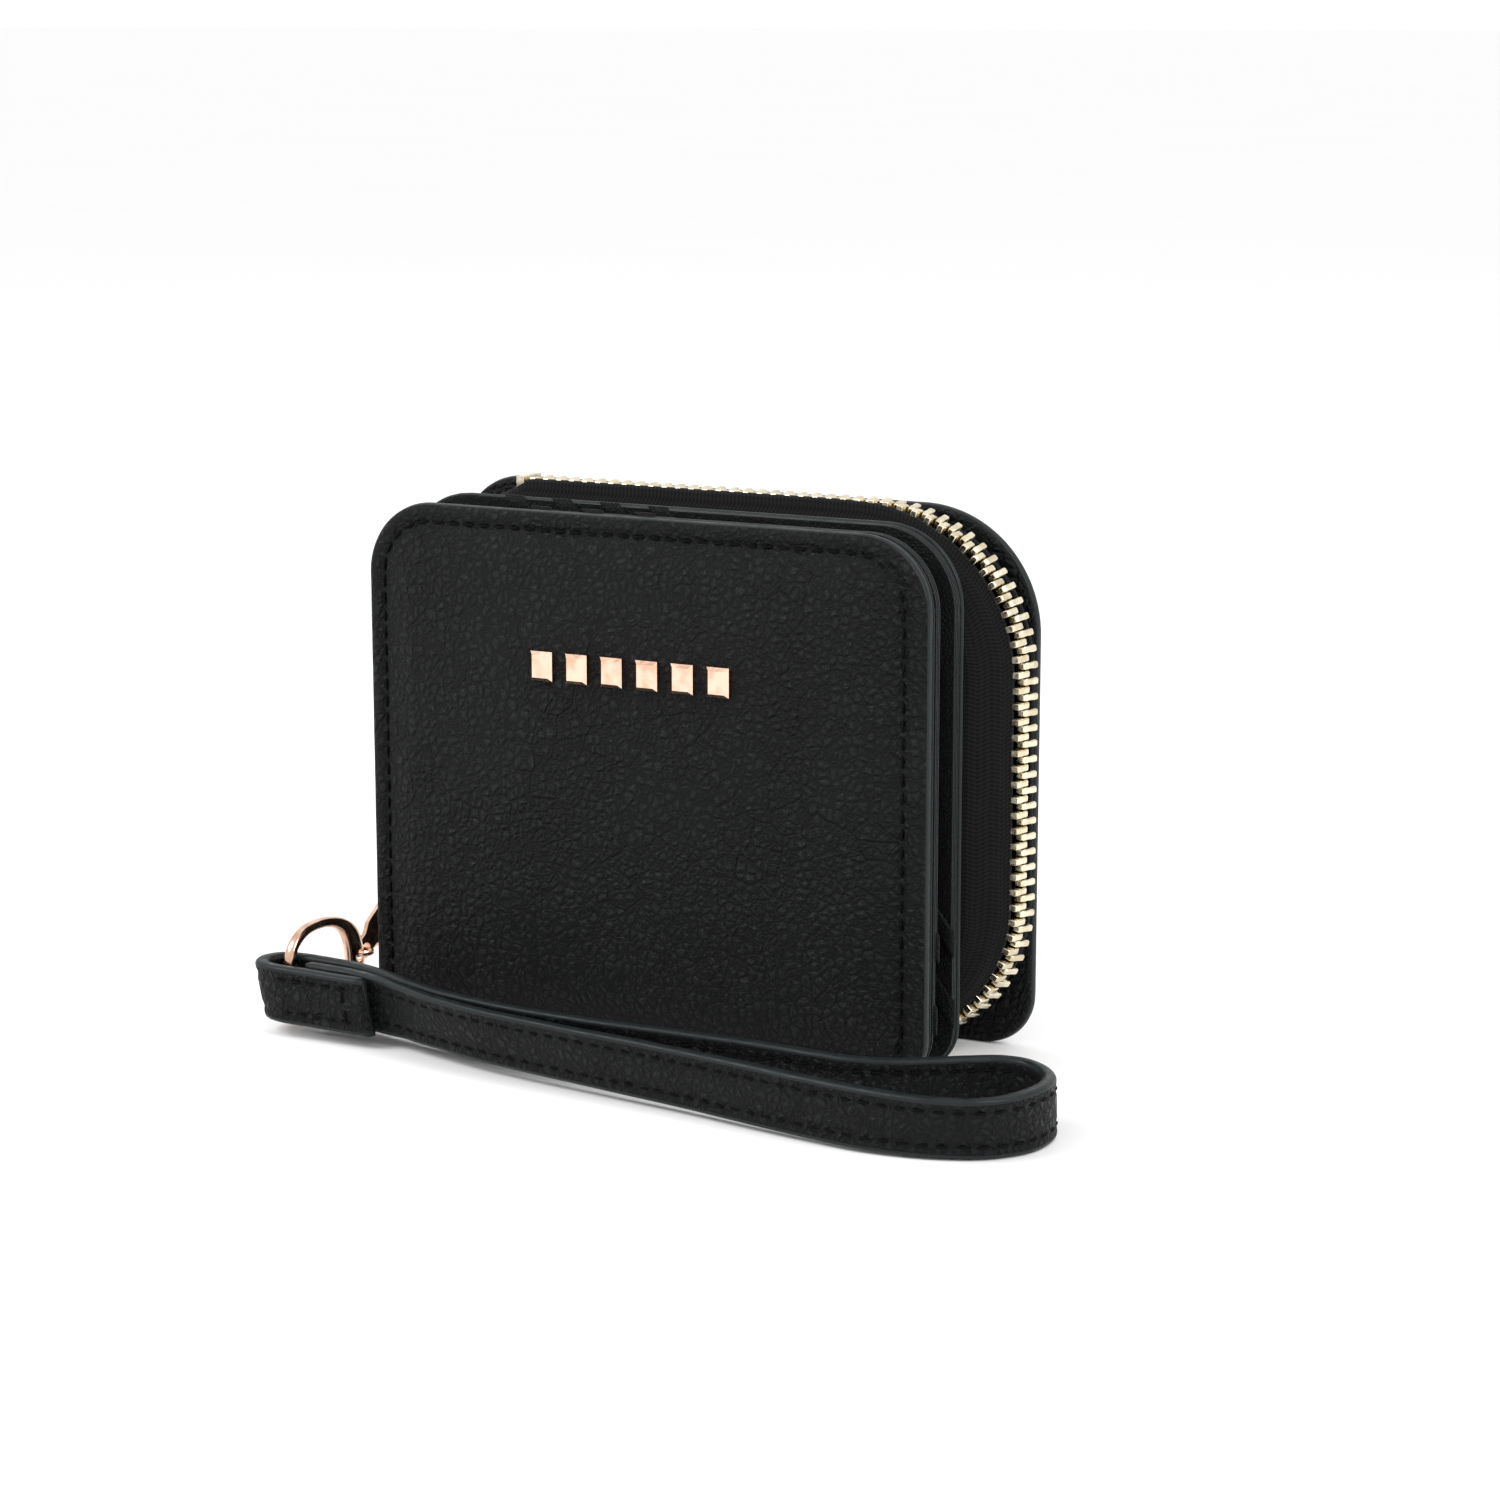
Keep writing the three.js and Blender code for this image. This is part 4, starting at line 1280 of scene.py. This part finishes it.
def make_puller():
    """A bar with wide facets round a flat face, a round eye at either end."""
    low_y, low_z = PULLER_LOW[:2]
    turn = (PULLER_HIGH_X - PULLER_LOW_X) / (PULLER_HIGH[0] - low_y)
    verts = []
    for depth, inset in PULLER_LAYERS:
        outline, run = puller_outline(inset)
        for along, out in outline:
            y = low_y + run.x * along - run.y * out
            z = low_z + run.y * along + run.x * out
            verts.append((PULLER_LOW_X + turn * (y - low_y) + depth, y, z))
    faces = tube_faces(len(PULLER_LAYERS), len(outline))
    piece = metal_piece("puller", verts, faces, "lead", ("zip_puller",))
    bore(piece, (round_cutter(*PULLER_LOW), round_cutter(*PULLER_HIGH)))
    bevel(piece, 0.14, 3, 24)
    ring_piece("pull_ring", *PULL_RING, "lead", "puller_ring")
    ring_piece("link_ring", *LINK_RING, "lead", "clasp_link_ring")


def dress_cad():
    """Bevels and finishes for the small hard parts that keep their CAD shape."""
    for number in range(1, 7):
        dress_node(f"emblem_stud_{number}", ROSE_GOLD, 0.22)
    dress_node("zip_end_stop", PALE_GOLD, 0.45)
    for name in ("flap_magnet", "centre_magnet"):
        dress_node(name, STEEL, 0.15)


def dress_node(name, material, width):
    node = bpy.data.objects[name]
    node.data.materials.clear()
    node.data.materials.append(material)
    bevel(node, width)


# ---- scene around the wallet ----
# Metres, in the frame.
FLOOR_HALF = 60.0


def make_stage():
    corners = [(x * FLOOR_HALF, y * FLOOR_HALF, 0) for x, y in ((-1, -1), (1, -1), (1, 1), (-1, 1))]
    mesh = bpy.data.meshes.new("floor")
    mesh.from_pydata(corners, [], [(0, 1, 2, 3)])
    shader = Shader("floor", (0.9, 0.9, 0.9), 0.7)
    shader.tint(shader.noise(3, 2), (0.88, 0.88, 0.88), (0.9, 0.9, 0.9))
    mesh.materials.append(shader.material)
    floor = new_object("floor", mesh)


WORLD_STRENGTH = 1.08
LIGHT_AIM = Vector((0, 0, 0.04))
# (name, place, size, watts)
LIGHTS = (("key", (-0.55, -0.5, 0.75), (0.5, 0.5), 6), ("rim", (0.7, -0.1, 0.6), (0.3, 0.6), 4))


def soft_light(name, place, size, power):
    data = bpy.data.lights.new(name, "AREA")
    data.shape = "RECTANGLE"
    data.size, data.size_y = size
    data.energy = power
    light = new_object(name, data)
    light.location = place
    direction = LIGHT_AIM - Vector(place)
    light.rotation_euler = direction.to_track_quat("-Z", "Y").to_euler()


def make_lights():
    world = bpy.data.worlds.new("studio")
    bpy.context.scene.world = world
    world.use_nodes = True
    background = world.node_tree.nodes["Background"]
    background.inputs["Color"].default_value = (1, 1, 1, 1)
    background.inputs["Strength"].default_value = WORLD_STRENGTH
    for light in LIGHTS:
        soft_light(*light)
    bpy.context.scene.view_settings.view_transform = "Standard"


make_camera()
make_stage()
make_lights()
make_flap()
make_pockets()
make_leaves()
make_back()
make_tapes()
make_teeth()
make_hinges()
make_pouch()
make_tail()
make_strap()
make_clasp()
make_slider()
make_puller()
dress_cad()
